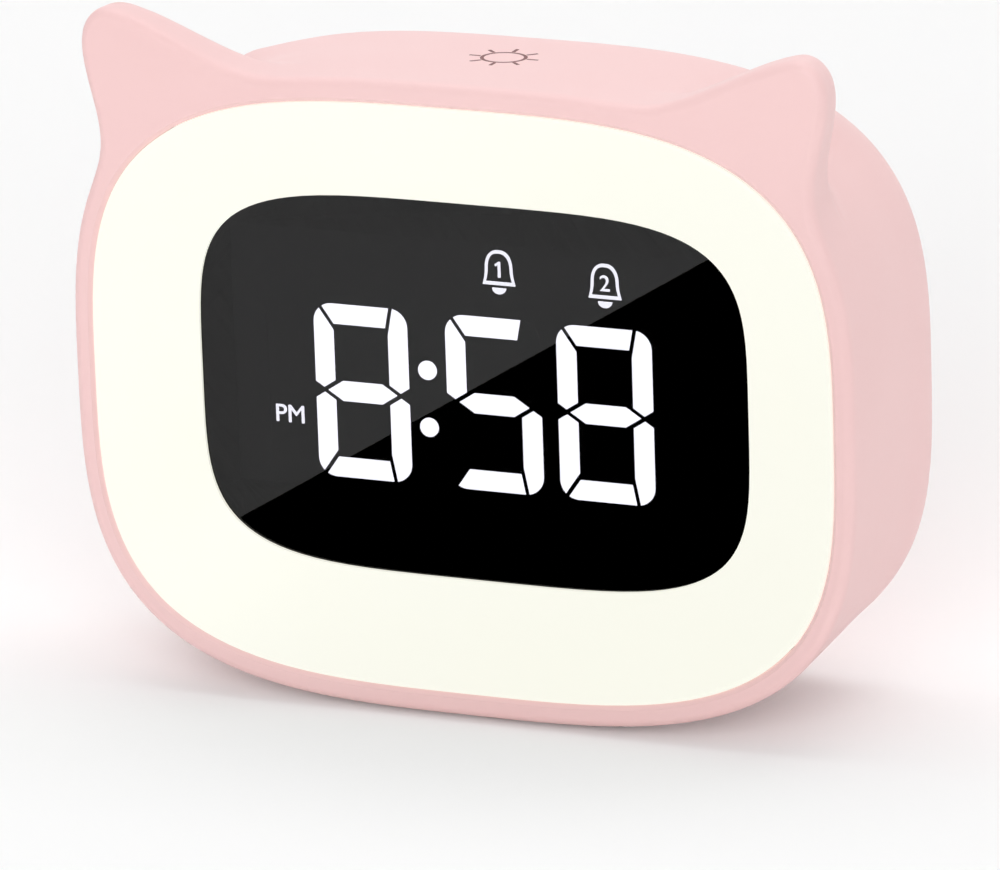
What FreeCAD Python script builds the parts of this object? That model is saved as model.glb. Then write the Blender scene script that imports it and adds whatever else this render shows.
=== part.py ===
"""Kids' alarm clock with a night light: a cat-eared pink shell on four rubber feet.

+Z is up, +X is to the right as seen from the front, and the lit face looks along -Y.
The origin lies on the table, under the middle of the clock. Millimetres throughout.
"""
import FreeCAD, Part
import Sketcher
import math
import os
from FreeCAD import Placement, Rotation, Vector

doc = FreeCAD.newDocument("NightLightClock")

# Driving dimensions. Each line is a size that can be changed by itself.
SIZES = {
    # outer shell
    "body_depth": 38.0,
    "face_half_width": 64.7,
    "face_half_height": 51.2,
    "back_half_width": 65.2,
    "back_half_height": 49.3,
    "front_edge_radius": 1.6,
    "opening_bevel": 0.6,
    "back_edge_radius": 3.5,
    "shell_wall": 2.4,
    "ear_height": 18.8,
    "ear_reach_back": 11.5,
    "ear_hollow": 8.0,
    "ear_hollow_inset": 2.0,
    "ear_front_wall": 3.5,
    "foot_stand": 0.9,
    # light panel and display window
    "panel_half_width": 61.3,
    "panel_half_height": 47.3,
    "panel_wall": 1.8,
    "panel_slope_wall": 2.2,
    "panel_setback": 0.3,
    "panel_rim": 0.5,
    "panel_skirt": 9.0,
    "lens_half_width": 45.7,
    "lens_half_height": 30.65,
    "lens_setback": 6.7,
    "lens_lip": 0.6,
    "lens_margin": 1.2,
    "lens_thickness": 1.6,
    "mask_thickness": 0.5,
    "mask_overlap": 1.5,
    "fit_gap": 0.15,
    # reflector tray, shelf and light board
    "tray_plate": 1.6,
    "tray_rim": 1.4,
    "tray_depth": 4.6,
    "shelf_thickness": 2.0,
    "shelf_window_side": 3.5,
    "shelf_window_end": 7.5,
    "board_thickness": 1.2,
    "light_ring_width": 9.0,
    "light_ring_margin": 2.6,
    "lamp_chip_length": 3.5,
    "lamp_chip_width": 2.8,
    "lamp_chip_height": 1.1,
    "tray_post_radius": 2.2,
    # display module
    "display_width": 84.0,
    "display_height": 45.0,
    "display_rise": 3.0,
    "display_depth": 7.5,
    "display_gap": 0.3,
    "display_card_overlap": 1.0,
    "digit_width": 15.7,
    "digit_height": 28.3,
    "digit_drop": 2.1,
    "digit_bar": 3.2,
    "digit_break": 0.5,
    "digit_pitch": 18.5,
    "tens_pitch": 23.7,
    "colon_space": 3.6,
    "last_digit_offset": 21.5,
    "colon_radius": 1.55,
    "colon_spacing": 9.3,
    "bell_window_width": 5.8,
    "bell_window_height": 7.4,
    "bell_window_rise": 19.1,
    "pm_window_width": 5.6,
    "pm_window_height": 3.6,
    "pm_window_offset": 31.6,
    "pm_window_drop": 6.7,
    # rear cover, boards and battery
    "cover_recess": 1.6,
    "cover_thickness": 2.2,
    "boss_radius": 3.4,
    "boss_spacing_x": 95.0,
    "boss_spacing_z": 68.0,
    "screw_radius": 1.25,
    "screw_head_radius": 2.4,
    "screw_head_height": 1.5,
    "screw_length": 9.0,
    "small_screw_radius": 0.9,
    "small_screw_head_radius": 1.7,
    "small_screw_head_height": 1.0,
    "small_screw_length": 4.5,
    "main_board_width": 88.0,
    "main_board_height": 60.0,
    "main_board_standoff": 5.0,
    "board_post_inset": 4.0,
    "board_post_radius": 2.4,
    "battery_width": 50.0,
    "battery_height": 32.0,
    "battery_thickness": 6.5,
    "battery_pad_thickness": 1.0,
    "battery_pad_inset": 3.0,
    "battery_edge_radius": 1.2,
    "battery_offset": 14.0,
    "battery_drop": 8.0,
    "controller_side": 7.0,
    "driver_side": 5.0,
    "small_chip_side": 4.0,
    "chip_height": 1.0,
    "crystal_radius": 1.0,
    "crystal_length": 6.0,
    "header_length": 25.0,
    "header_height": 2.4,
    # keys and slide switches
    "key_width": 11.0,
    "key_height": 6.5,
    "key_proud": 1.2,
    "key_flange": 1.0,
    "key_flange_height": 0.8,
    "key_corner": 2.0,
    "key_pitch": 18.0,
    "key_row_rise": 20.0,
    "key_gap": 0.3,
    "key_travel": 0.4,
    "key_switch_side": 6.0,
    "key_switch_height": 3.0,
    "key_stem_radius": 1.6,
    "knob_width": 3.0,
    "knob_height": 2.6,
    "knob_proud": 1.0,
    "knob_travel": 2.0,
    "knob_plate": 0.8,
    "knob_plate_overlap": 0.8,
    "slide_switch_width": 9.0,
    "slide_switch_height": 4.4,
    "slide_row_rise": 2.0,
    "slide_first_offset": 30.0,
    "slide_pitch": 17.0,
    # charging socket
    "socket_width": 8.94,
    "socket_height": 3.2,
    "socket_wall": 0.3,
    "socket_drop": 24.0,
    "socket_front_gap": 0.4,
    "socket_tongue_width": 6.7,
    "socket_tongue_thickness": 0.7,
    # speaker
    "speaker_radius": 11.5,
    "speaker_rim": 2.0,
    "speaker_frame_depth": 3.0,
    "speaker_magnet_radius": 7.0,
    "speaker_magnet_depth": 3.6,
    "speaker_offset": 27.0,
    "speaker_drop": 11.0,
    "speaker_gasket": 0.6,
    "speaker_board_gap": 1.0,
    "grille_hole_radius": 0.9,
    "grille_ring_step": 3.0,
    # touch key under the roof, and wiring
    "touch_plate_width": 26.0,
    "touch_plate_depth": 10.0,
    "touch_plate_thickness": 0.3,
    "touch_setback": 24.0,
    "touch_strip_width": 4.0,
    "lead_radius": 0.6,
    "lead_bend": 3.0,
    # rubber feet
    "foot_radius": 4.0,
    "foot_height": 3.0,
    "foot_spacing_x": 44.0,
    "foot_spacing_y": 20.0,
}
# Numbers without a length: outline squareness, ear angles and spreads in degrees, the share of
# the socket's height that rounds its corners, and counts.
FACE_POWER = 3.2
PANEL_POWER = 3.3
LENS_POWER = 4.2
EAR_ANGLE = 45.45
EAR_OUTER_SPREAD = 9.3
EAR_INNER_SPREAD = 6.3
EAR_OUTER_POWER = 2.27
EAR_INNER_POWER = 1.7
EAR_FADE_POWER = 6.0
OUTLINE_POINTS = 180
SOCKET_ROUNDING = 0.48
LAMP_COUNT = 24

sheet = doc.addObject("Spreadsheet::Sheet", "Sizes")
for row, (alias, number) in enumerate(SIZES.items(), start=1):
    sheet.set(f"A{row}", alias)
    sheet.set(f"B{row}", str(number))
    sheet.setAlias(f"B{row}", alias)
doc.recompute()


class Measure:
    """A length that carries its number and the sheet formula that gives it."""

    def __init__(self, number, formula):
        self.number = float(number)
        self.formula = formula

    def __float__(self):
        return self.number

    def __add__(self, other):
        return combine(self, "+", other, self.number + float(other))

    def __sub__(self, other):
        return combine(self, "-", other, self.number - float(other))

    def __mul__(self, factor):
        return combine(self, "*", factor, self.number * float(factor))

    def __truediv__(self, factor):
        return combine(self, "/", factor, self.number / float(factor))

    def __neg__(self):
        return Measure(-self.number, f"(0 - {self.formula})")


def combine(first, sign, second, number):
    formula = second.formula if isinstance(second, Measure) else str(second)
    return Measure(number, f"({first.formula} {sign} {formula})")


class SheetSizes:
    """Reads a size from the sheet by its alias."""

    def __getattr__(self, alias):
        return Measure(float(sheet.get(alias)), f"Sizes.{alias}")


size = SheetSizes()
ZERO = Measure(0.0, "0")

# Stations along the depth, from the lit face to the back.
front = -size.body_depth / 2
back = size.body_depth / 2
middle = size.foot_stand + size.face_half_height
lens_front = front + size.lens_setback
lens_back = lens_front + size.lens_thickness
tray_front = front + size.panel_skirt
tray_floor = tray_front + size.tray_depth
shelf_front = tray_floor + size.tray_plate
shelf_back = shelf_front + size.shelf_thickness
display_front = lens_back + size.mask_thickness
display_back = display_front + size.display_depth
display_board_back = display_back + size.board_thickness
cover_outer = back - size.cover_recess
cover_inner = cover_outer - size.cover_thickness
main_board_back = cover_inner - size.main_board_standoff
main_board_front = main_board_back - size.board_thickness

FACING_BACK = Rotation(Vector(1, 0, 0), -90)
FACING_FRONT = Rotation(Vector(1, 0, 0), 90)
FACING_RIGHT = Rotation(Vector(0, 1, 0), 90)
UPRIGHT = Rotation()
nodes = []


def bind(thing, target, measure):
    """Ties a property to the sheet formula behind a measure."""
    if isinstance(measure, Measure):
        thing.setExpression(target, measure.formula)
    else:
        thing.setExpression(target, str(measure))


def place(thing, x, y, z, rotation=UPRIGHT):
    thing.Placement = Placement(Vector(float(x), float(y), float(z)), rotation)
    for axis, measure in (("x", x), ("y", y), ("z", z)):
        bind(thing, f".Placement.Base.{axis}", measure)


def node(thing, label):
    """Marks an object as a finished sub-part under its own name."""
    thing.Label = label
    nodes.append(thing)
    return thing


def box(name, width, depth, height, x, y, z):
    """A box centred on x and z whose near face lies at y."""
    thing = doc.addObject("Part::Box", name)
    bind(thing, "Length", width)
    bind(thing, "Width", depth)
    bind(thing, "Height", height)
    place(thing, x - width / 2, y, z - height / 2)
    return thing


def rod(name, radius, length, x, y, z, rotation=FACING_BACK):
    """A round bar that starts at a point and runs along the turned Z axis."""
    thing = doc.addObject("Part::Cylinder", name)
    bind(thing, "Radius", radius)
    bind(thing, "Height", length)
    place(thing, x, y, z, rotation)
    return thing


def group(name, things):
    thing = doc.addObject("Part::Compound", name)
    thing.Links = things
    return thing


def joined(name, things):
    thing = doc.addObject("Part::MultiFuse", name)
    thing.Shapes = things
    return thing


def cut(name, base, tools):
    thing = doc.addObject("Part::Cut", name)
    thing.Base = base
    thing.Tool = tools[0] if len(tools) == 1 else group(name + "_tools", tools)
    return thing


def formed(name, shape):
    """A shape that follows a formula, kept as a plain feature."""
    thing = doc.addObject("Part::Feature", name)
    thing.Shape = shape
    return thing


# Outlines. All of them are given round the middle of the face, as seen from the front.
def outline_radius(angle, half_width, half_height, power):
    across = abs(math.cos(angle) / half_width) ** power
    upright = abs(math.sin(angle) / half_height) ** power
    return (across + upright) ** (-1.0 / power)


def ear_bump(angle, height, spread=1.0):
    """How far an ear stands out of the rounded outline at a polar angle."""
    if height <= 0 or math.sin(angle) <= 0:
        return 0.0
    lean = math.degrees(math.atan2(math.sin(angle), abs(math.cos(angle)))) - EAR_ANGLE
    width, power = EAR_INNER_SPREAD, EAR_INNER_POWER
    if lean < 0:
        width, power = EAR_OUTER_SPREAD, EAR_OUTER_POWER
    return height * math.exp(-((abs(lean) / (width * spread)) ** power))


def outline_point(angle, half_width, half_height, power, ear=0.0, spread=1.0):
    reach = outline_radius(angle, half_width, half_height, power) + ear_bump(angle, ear, spread)
    return (reach * math.cos(angle), reach * math.sin(angle))


def even_angles(count, half_width, half_height, power, ear=0.0):
    """Polar angles that split an outline into arcs of equal length, from the bottom middle."""
    fine = 8 * count
    walk = [0.0]
    angles = [-math.pi / 2 + 2 * math.pi * step / fine for step in range(fine + 1)]
    last = outline_point(angles[0], half_width, half_height, power, ear)
    for angle in angles[1:]:
        here = outline_point(angle, half_width, half_height, power, ear)
        walk.append(walk[-1] + math.dist(here, last))
        last = here
    chosen = []
    step = 0
    for number in range(count):
        target = walk[-1] * number / count
        while walk[step + 1] < target:
            step += 1
        share = (target - walk[step]) / (walk[step + 1] - walk[step])
        chosen.append(angles[step] + share * (angles[step + 1] - angles[step]))
    return chosen


def ring_wire(depth, angles, half_width, half_height, power, inset=0.0, ear=0.0, spread=1.0):
    """A closed smooth curve on the outline, moved inwards by inset, at one depth."""
    nudge = 1e-4
    points = []
    for angle in angles:
        ahead = outline_point(angle + nudge, half_width, half_height, power, ear, spread)
        behind = outline_point(angle - nudge, half_width, half_height, power, ear, spread)
        along_x, along_z = ahead[0] - behind[0], ahead[1] - behind[1]
        length = math.hypot(along_x, along_z)
        x, z = outline_point(angle, half_width, half_height, power, ear, spread)
        points.append(Vector(x - inset * along_z / length, depth,
                             float(middle) + z + inset * along_x / length))
    curve = Part.BSplineCurve()
    curve.interpolate(points, PeriodicFlag=True)
    return Part.Wire(curve.toShape())


def ring_plug(start, end, half_width, half_height, power):
    """A solid plug with the given outline between two depths."""
    count = OUTLINE_POINTS // 2
    angles = even_angles(count, float(half_width), float(half_height), power)
    wire = ring_wire(float(start), angles, float(half_width), float(half_height), power)
    return Part.Face(wire).extrude(Vector(0, float(end) - float(start), 0))


def ring_stack(stations):
    """A solid plug whose outline changes in straight steps from station to station."""
    wires = []
    for depth, (half_width, half_height), power in stations:
        angles = even_angles(OUTLINE_POINTS // 2, float(half_width), float(half_height), power)
        wires.append(ring_wire(float(depth), angles, float(half_width), float(half_height), power))
    return Part.makeLoft(wires, True, True)


# Outer form of the shell: the outline is carried straight back while the ears fade into it,
# and quarter rounds finish its front and back edges.
def shell_stations():
    depth = float(size.body_depth)
    near = float(size.front_edge_radius)
    far = float(size.back_edge_radius)
    rounds = [0, 22.5, 45, 67.5]
    front_round = [(near * (1 - math.cos(math.radians(turn))), near * (1 - math.sin(math.radians(turn))))
                   for turn in rounds]
    back_round = [(depth - far * (1 - math.cos(math.radians(turn))),
                   far * (1 - math.sin(math.radians(turn)))) for turn in reversed(rounds)]
    ear_steps = 10
    reach = 1.5 * float(size.ear_reach_back)
    ear_run = [(near + (reach - near) * step / ear_steps, 0.0) for step in range(ear_steps + 1)]
    tail = [((reach + depth - far) / 2, 0.0), (depth - far, 0.0)]
    return front_round + ear_run + tail + back_round


def ear_height_at(depth, full_height):
    return full_height * math.exp(-((depth / float(size.ear_reach_back)) ** EAR_FADE_POWER))


def outer_form():
    face_width, face_height = float(size.face_half_width), float(size.face_half_height)
    back_width, back_height = float(size.back_half_width), float(size.back_half_height)
    angles = even_angles(OUTLINE_POINTS, face_width, face_height, FACE_POWER, float(size.ear_height))
    wires = []
    for depth, inset in shell_stations():
        share = depth / float(size.body_depth)
        width = face_width + (back_width - face_width) * share
        height = face_height + (back_height - face_height) * share
        ear = ear_height_at(depth, float(size.ear_height))
        wires.append(ring_wire(float(front) + depth, angles, width, height, FACE_POWER, inset, ear))
    return Part.makeLoft(wires, True, False)


def ear_hollows():
    """The cores that keep the ears from being thick lumps, open towards the inside."""
    width = float(size.panel_half_width - size.ear_hollow_inset)
    height = float(size.panel_half_height - size.ear_hollow_inset)
    angles = even_angles(OUTLINE_POINTS // 2, width, height, PANEL_POWER, float(size.ear_hollow))
    start = float(size.ear_front_wall)
    end = float(shelf_front) - float(front)
    wires = []
    for step in range(4):
        depth = start + (end - start) * step / 3
        hollow = ear_height_at(depth, float(size.ear_hollow))
        wires.append(ring_wire(float(front) + depth, angles, width, height, PANEL_POWER, 0, hollow, 0.75))
    return Part.makeLoft(wires, True, False)


def make_housing():
    pocket = ring_plug(front - 2, shelf_front, size.panel_half_width + size.fit_gap,
                       size.panel_half_height + size.fit_gap, PANEL_POWER)
    mouth = size.fit_gap + size.opening_bevel * 2
    bevel_outer = (size.panel_half_width + mouth, size.panel_half_height + mouth)
    bevel_inner = (size.panel_half_width + size.fit_gap, size.panel_half_height + size.fit_gap)
    bevel = ring_stack([(front - size.opening_bevel, bevel_outer, PANEL_POWER),
                        (front + size.opening_bevel, bevel_inner, PANEL_POWER)])
    rear_half_width = size.back_half_width - size.shell_wall
    rear_half_height = size.back_half_height - size.shell_wall
    rear_pocket = ring_plug(shelf_back, back + 2, rear_half_width, rear_half_height, FACE_POWER)
    tube = outer_form().cut([ear_hollows(), pocket, bevel, rear_pocket])
    tube = formed("shell_tube", tube)
    window = box("shelf_window", size.display_width + size.shelf_window_side * 2, size.shelf_thickness * 3,
                 size.display_height + size.shelf_window_end * 2, ZERO, shelf_front - size.shelf_thickness,
                 middle)
    bosses, pilots = [], []
    for side in (-1, 1):
        for rise in (-1, 1):
            x = size.boss_spacing_x / 2 * side
            z = middle + size.boss_spacing_z / 2 * rise
            tag = f"{side}_{rise}".replace("-", "m")
            bosses.append(rod(f"boss_{tag}", size.boss_radius, cover_inner - shelf_back, x, shelf_back, z))
            pilots.append(rod(f"pilot_{tag}", size.screw_radius, size.screw_length + 1, x,
                              cover_inner - size.screw_length, z))
    body = joined("shell_with_bosses", [tube] + bosses)
    holes = [window] + pilots
    for number, (x, z) in enumerate(tray_post_places()):
        holes.append(rod(f"tray_screw_hole_{number}", size.small_screw_radius + size.fit_gap,
                         size.shelf_thickness * 3, x, shelf_front - size.shelf_thickness, z))
    for number, (x, y) in enumerate(foot_places()):
        holes.append(rod(f"foot_pocket_{number}", size.foot_radius, size.foot_height, x, y, ZERO, UPRIGHT))
    light_x, light_z = light_lead_place()
    holes.append(rod("lead_hole_shelf", size.lead_radius * 2, size.shelf_thickness * 3, light_x,
                     shelf_front - size.shelf_thickness, light_z))
    node(cut("housing", body, holes), "housing_shell")


def tray_post_places():
    """Four posts at the middle of each side, on the centre line of the light board."""
    across = size.panel_half_width - size.light_ring_margin - size.light_ring_width / 2
    upright = size.panel_half_height - size.light_ring_margin - size.light_ring_width / 2
    return [(across, middle), (-across, middle), (ZERO, middle + upright), (ZERO, middle - upright)]


def foot_places():
    x = size.foot_spacing_x / 2
    y = size.foot_spacing_y / 2
    return [(-x, -y), (x, -y), (-x, y), (x, y)]


def light_lead_place():
    """Where the wire of the light board goes back through the tray and the shelf."""
    return size.speaker_offset, middle - size.panel_half_height + size.light_ring_margin * 2 + size.lead_radius


# Light panel: a milky dish that slopes in to the display window, with a skirt round its edge.
def make_light_panel():
    outer = (size.panel_half_width, size.panel_half_height)
    inner = (size.lens_half_width, size.lens_half_height)
    pocket = (size.lens_half_width + size.lens_margin, size.lens_half_height + size.lens_margin)
    boss = (pocket[0] + size.panel_wall, pocket[1] + size.panel_wall)
    skirt = (outer[0] - size.panel_wall, outer[1] - size.panel_wall)
    face = front + size.panel_setback
    slope_start = (outer[0] - size.panel_rim, outer[1] - size.panel_rim)
    slope_end = lens_front - size.lens_lip
    blank = ring_plug(face, tray_front, *outer, PANEL_POWER)
    dish = ring_stack([(face, slope_start, PANEL_POWER), (slope_end, inner, LENS_POWER),
                       (tray_front + 1, inner, LENS_POWER)])
    seat = ring_plug(lens_front, tray_front + 1, pocket[0] + size.fit_gap, pocket[1] + size.fit_gap, LENS_POWER)
    behind = size.panel_slope_wall
    slope_back = ring_stack([(face + behind, slope_start, PANEL_POWER),
                             (slope_end + behind, inner, LENS_POWER)])
    chamber = ring_plug(face + behind, tray_front + 1, *skirt, PANEL_POWER)
    chamber = chamber.cut([slope_back, ring_plug(face, tray_front + 2, *boss, LENS_POWER)])
    node(formed("panel", blank.cut([dish, seat, chamber])), "light_panel")
    lens = ring_plug(lens_front, lens_back, *pocket, LENS_POWER)
    node(formed("lens", lens), "display_lens")
    film = formed("mask_blank", ring_plug(lens_back, lens_back + size.mask_thickness, *pocket, LENS_POWER))
    overlap = size.mask_overlap * 2
    window = box("mask_window", size.display_width - overlap, size.lens_setback, size.display_height - overlap,
                 ZERO, lens_back - size.mask_thickness, middle + size.display_rise)
    node(cut("mask", film, [window]), "display_mask")


# Reflector tray behind the light panel, with a window for the display module.
def make_tray():
    outer = (size.panel_half_width, size.panel_half_height)
    inner = (outer[0] - size.tray_rim, outer[1] - size.tray_rim)
    shape = ring_plug(tray_front, shelf_front, *outer, PANEL_POWER)
    shape = formed("tray_blank", shape.cut(ring_plug(tray_front - 1, tray_floor, *inner, PANEL_POWER)))
    height = middle + size.display_rise
    wall = box("tray_window_wall", size.display_width + size.display_gap * 2 + size.tray_rim * 2,
               shelf_front - lens_back - size.tray_rim,
               size.display_height + size.display_gap * 2 + size.tray_rim * 2,
               ZERO, lens_back + size.tray_rim, height)
    posts, holes = [], []
    for number, (x, z) in enumerate(tray_post_places()):
        posts.append(rod(f"tray_post_{number}", size.tray_post_radius, size.tray_depth, x, tray_front, z))
        holes.append(rod(f"tray_post_hole_{number}", size.small_screw_radius, size.small_screw_length, x,
                         shelf_back - size.small_screw_length, z))
    body = joined("tray_body", [shape, wall] + posts)
    window = box("tray_window", size.display_width + size.display_gap * 2, size.body_depth,
                 size.display_height + size.display_gap * 2, ZERO, front, height)
    light_x, light_z = light_lead_place()
    lead_hole = rod("lead_hole_tray", size.lead_radius * 2, size.tray_plate * 3, light_x,
                    tray_floor - size.tray_plate, light_z)
    node(cut("tray", body, holes + [window, lead_hole]), "reflector_tray")


# Ring-shaped light board lying in the tray, and its lamp chips.
def make_light_board():
    edge = (size.panel_half_width - size.tray_rim - size.display_gap,
            size.panel_half_height - size.tray_rim - size.display_gap)
    inner = (edge[0] - size.light_ring_width, edge[1] - size.light_ring_width)
    top = tray_floor - size.board_thickness
    shape = ring_plug(top, tray_floor, *edge, PANEL_POWER).cut(
        ring_plug(top - 1, tray_floor + 1, *inner, PANEL_POWER))
    ring = formed("light_ring", shape)
    holes = [rod(f"light_board_hole_{number}", size.tray_post_radius + size.display_gap, size.tray_depth,
                 x, tray_front, z) for number, (x, z) in enumerate(tray_post_places())]
    node(cut("light_board_cut", ring, holes), "light_board")
    across = float(edge[0] - size.light_ring_width / 2)
    upright = float(edge[1] - size.light_ring_width / 2)
    chips = []
    for number, angle in enumerate(even_angles(LAMP_COUNT * 2, across, upright, PANEL_POWER)[1::2]):
        x, z = outline_point(angle, across, upright, PANEL_POWER)
        chips.append(box(f"lamp_{number}", size.lamp_chip_length, size.lamp_chip_height, size.lamp_chip_width,
                         Measure(x, str(round(x, 4))), top - size.lamp_chip_height,
                         middle + Measure(z, str(round(z, 4)))))
    node(group("lamps", chips), "light_chips")


# Display module: a black block whose windows are filled by the milky segments of the digits.
def segment_outlines(width, height, bar, gap):
    """The seven bars of one digit, by letter, round its own centre."""
    side, top, half = width / 2, height / 2, bar / 2
    upper = [(-side + gap, top), (side - gap, top), (side - bar - gap, top - bar),
             (-side + bar + gap, top - bar)]
    left = [(-side, top - gap), (-side + bar, top - bar - gap), (-side + bar, half + gap),
            (-side + half, gap), (-side, gap)]
    centre = [(-side + half + gap, 0), (-side + bar + gap, half), (side - bar - gap, half),
              (side - half - gap, 0), (side - bar - gap, -half), (-side + bar + gap, -half)]

    def flipped(points, across, upright):
        return [(x * across, z * upright) for x, z in points]

    return {
        "a": upper, "d": flipped(upper, 1, -1), "g": centre,
        "f": left, "b": flipped(left, -1, 1), "e": flipped(left, 1, -1), "c": flipped(left, -1, -1),
    }


def digit_places():
    """The centres of the three figures, counted from the right, and of the hour's first bars."""
    last = size.last_digit_offset
    second = last - size.digit_pitch
    first = second - size.digit_pitch - size.colon_space
    return first, second, last


def prism(outline, x, z, start, depth):
    points = [Vector(float(x) + across, float(start), float(z) + upright) for across, upright in outline]
    face = Part.Face(Part.makePolygon(points + points[:1]))
    return face.extrude(Vector(0, float(depth), 0))


def make_display():
    level = middle - size.digit_drop
    bars = segment_outlines(float(size.digit_width), float(size.digit_height), float(size.digit_bar),
                            float(size.digit_break))
    depth = size.display_depth
    solids = []
    first, second, last = digit_places()
    for x in (first, second, last):
        solids += [prism(outline, x, level, display_front, depth) for outline in bars.values()]
    tens = first - size.tens_pitch
    solids += [prism(bars[letter], tens, level, display_front, depth) for letter in ("b", "c")]
    colon_x = (first + second) / 2
    for rise in (-1, 1):
        centre = Vector(float(colon_x), float(display_front), float(level + size.colon_spacing / 2 * rise))
        solids.append(Part.makeCylinder(float(size.colon_radius), float(depth), centre, Vector(0, 1, 0)))
    segments = formed("segments", Part.makeCompound(solids))
    windows = []
    for name, x, z, width, height in (
            ("bell_1", second + size.digit_break * 2, middle + size.bell_window_rise,
             size.bell_window_width, size.bell_window_height),
            ("bell_2", last + size.digit_break, middle + size.bell_window_rise,
             size.bell_window_width, size.bell_window_height),
            ("pm", -size.pm_window_offset, middle - size.pm_window_drop,
             size.pm_window_width, size.pm_window_height)):
        windows.append(box(f"window_{name}", width, depth, height, x, display_front, z))
    marks = group("mark_windows", windows)
    block = box("display_block", size.display_width, depth, size.display_height, ZERO, display_front,
                middle + size.display_rise)
    node(cut("display_case", block, [segments, marks]), "digit_housing")
    node(segments, "digit_segments")
    node(marks, "indicator_windows")
    overlap = size.display_card_overlap * 2
    node(box("display_card", size.display_width + overlap, size.board_thickness,
             size.display_height + overlap, ZERO, display_back, middle + size.display_rise),
         "display_board")


# Battery: a flat pouch stuck to the back of the display board with a foam pad.
def make_battery():
    x, z = -size.battery_offset, middle - size.battery_drop
    inset = size.battery_pad_inset * 2
    node(box("pad", size.battery_width - inset, size.battery_pad_thickness, size.battery_height - inset,
             x, display_board_back, z), "battery_pad")
    pouch = box("pouch", size.battery_width, size.battery_thickness, size.battery_height,
                x, display_board_back + size.battery_pad_thickness, z)
    soft = doc.addObject("Part::Fillet", "pouch_rounded")
    soft.Base = pouch
    doc.recompute()
    radius = float(size.battery_edge_radius)
    soft.Edges = [(number, radius, radius) for number in range(1, len(pouch.Shape.Edges) + 1)]
    node(soft, "battery_cell")


# Sketch-based pieces. The sketch plane is turned so that the pad runs out of the back or front.
def body_plane(body, role):
    for feature in body.Origin.OriginFeatures:
        if feature.Role == role:
            return feature
    raise RuntimeError(f"{body.Name} has no plane {role}")


def sketch_on(body, role, name):
    sketch = body.newObject("Sketcher::SketchObject", name)
    sketch.AttachmentSupport = [(body_plane(body, role), "")]
    sketch.MapMode = "FlatFace"
    return sketch


def draw_chain(sketch, points):
    """A closed chain of straight lines whose corners are tied to measures."""
    count = len(points)
    for number in range(count):
        here, there = points[number], points[(number + 1) % count]
        sketch.addGeometry(Part.LineSegment(Vector(float(here[0]), float(here[1]), 0),
                                            Vector(float(there[0]), float(there[1]), 0)))
    for number in range(count):
        sketch.addConstraint(Sketcher.Constraint("Coincident", number, 2, (number + 1) % count, 1))
    for number, point in enumerate(points):
        for kind, axis_line, measure in (("DistanceX", -2, point[0]), ("DistanceY", -1, point[1])):
            if float(measure) == 0.0:
                sketch.addConstraint(Sketcher.Constraint("PointOnObject", number, 1, axis_line))
                continue
            index = sketch.addConstraint(
                Sketcher.Constraint(kind, -1, 1, number, 1, float(measure)))
            bind(sketch, f"Constraints[{index}]", measure)


def padded_plate(body, name, width, height, depth, lift=ZERO, corner=None):
    """A rectangular pad, centred on the body's axis, with rounded corners if asked."""
    sketch = sketch_on(body, "XY_Plane", name + "_sketch")
    half_width, half_height = width / 2, height / 2
    draw_chain(sketch, [(-half_width, -half_height), (half_width, -half_height),
                        (half_width, half_height), (-half_width, half_height)])
    bind(sketch, ".AttachmentOffset.Base.z", lift)
    pad = body.newObject("PartDesign::Pad", name)
    pad.Profile = sketch
    bind(pad, "Length", depth)
    doc.recompute()
    if corner is not None:
        edges = [f"Edge{number}" for number, edge in enumerate(pad.Shape.Edges, start=1)
                 if is_outer_corner(edge, half_width, half_height, lift)]
        rounded = body.newObject("PartDesign::Fillet", name + "_corners")
        rounded.Base = (pad, edges)
        bind(rounded, "Radius", corner)
        doc.recompute()
    return body


def is_outer_corner(edge, half_width, half_height, lift):
    """True for an upright edge that stands at a corner of the plate above lift."""
    ends = [vertex.Point for vertex in edge.Vertexes]
    if len(ends) != 2 or abs(ends[0].z - ends[1].z) < 1e-6:
        return False
    at_corner = all(abs(abs(end.x) - float(half_width)) < 1e-5 and abs(abs(end.y) - float(half_height)) < 1e-5
                    for end in ends)
    return at_corner and min(end.z for end in ends) >= float(lift) - 1e-5


def new_body(name, x, y, z, rotation=FACING_BACK):
    body = doc.addObject("PartDesign::Body", name)
    place(body, x, y, z, rotation)
    return body


def turned_body(name, profile, x, y, z, rotation=FACING_BACK):
    """A body of revolution from a half profile of (radius, height) corners."""
    body = new_body(name, x, y, z, rotation)
    sketch = sketch_on(body, "XZ_Plane", name + "_profile")
    draw_chain(sketch, profile)
    turned = body.newObject("PartDesign::Revolution", name + "_turned")
    turned.Profile = sketch
    turned.ReferenceAxis = (sketch, ["V_Axis"])
    turned.Angle = 360
    return body


def screw_profile(shank, length, head, head_height):
    """A pan head screw: the head's underside is at zero and the shank points down."""
    point = shank * 0.6
    return [(ZERO, -length), (shank - point / 2, -length), (shank, -(length - point)), (shank, ZERO),
            (head, ZERO), (head, head_height * 0.6), (head * 0.8, head_height), (ZERO, head_height)]


def screw_set(name, label, places, y, profile):
    screws = [turned_body(f"{name}_{number}", profile, x, y, z) for number, (x, z) in enumerate(places)]
    node(group(name + "_set", screws), label)


# Keys: a cap through the rear cover, a flange that keeps it in, and the stem of its switch.
KEY_NAMES = ("set_key", "down_key", "up_key", "alarm_key")


def key_places():
    return [(size.key_pitch * (number - 1.5), middle + size.key_row_rise) for number in range(len(KEY_NAMES))]


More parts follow.
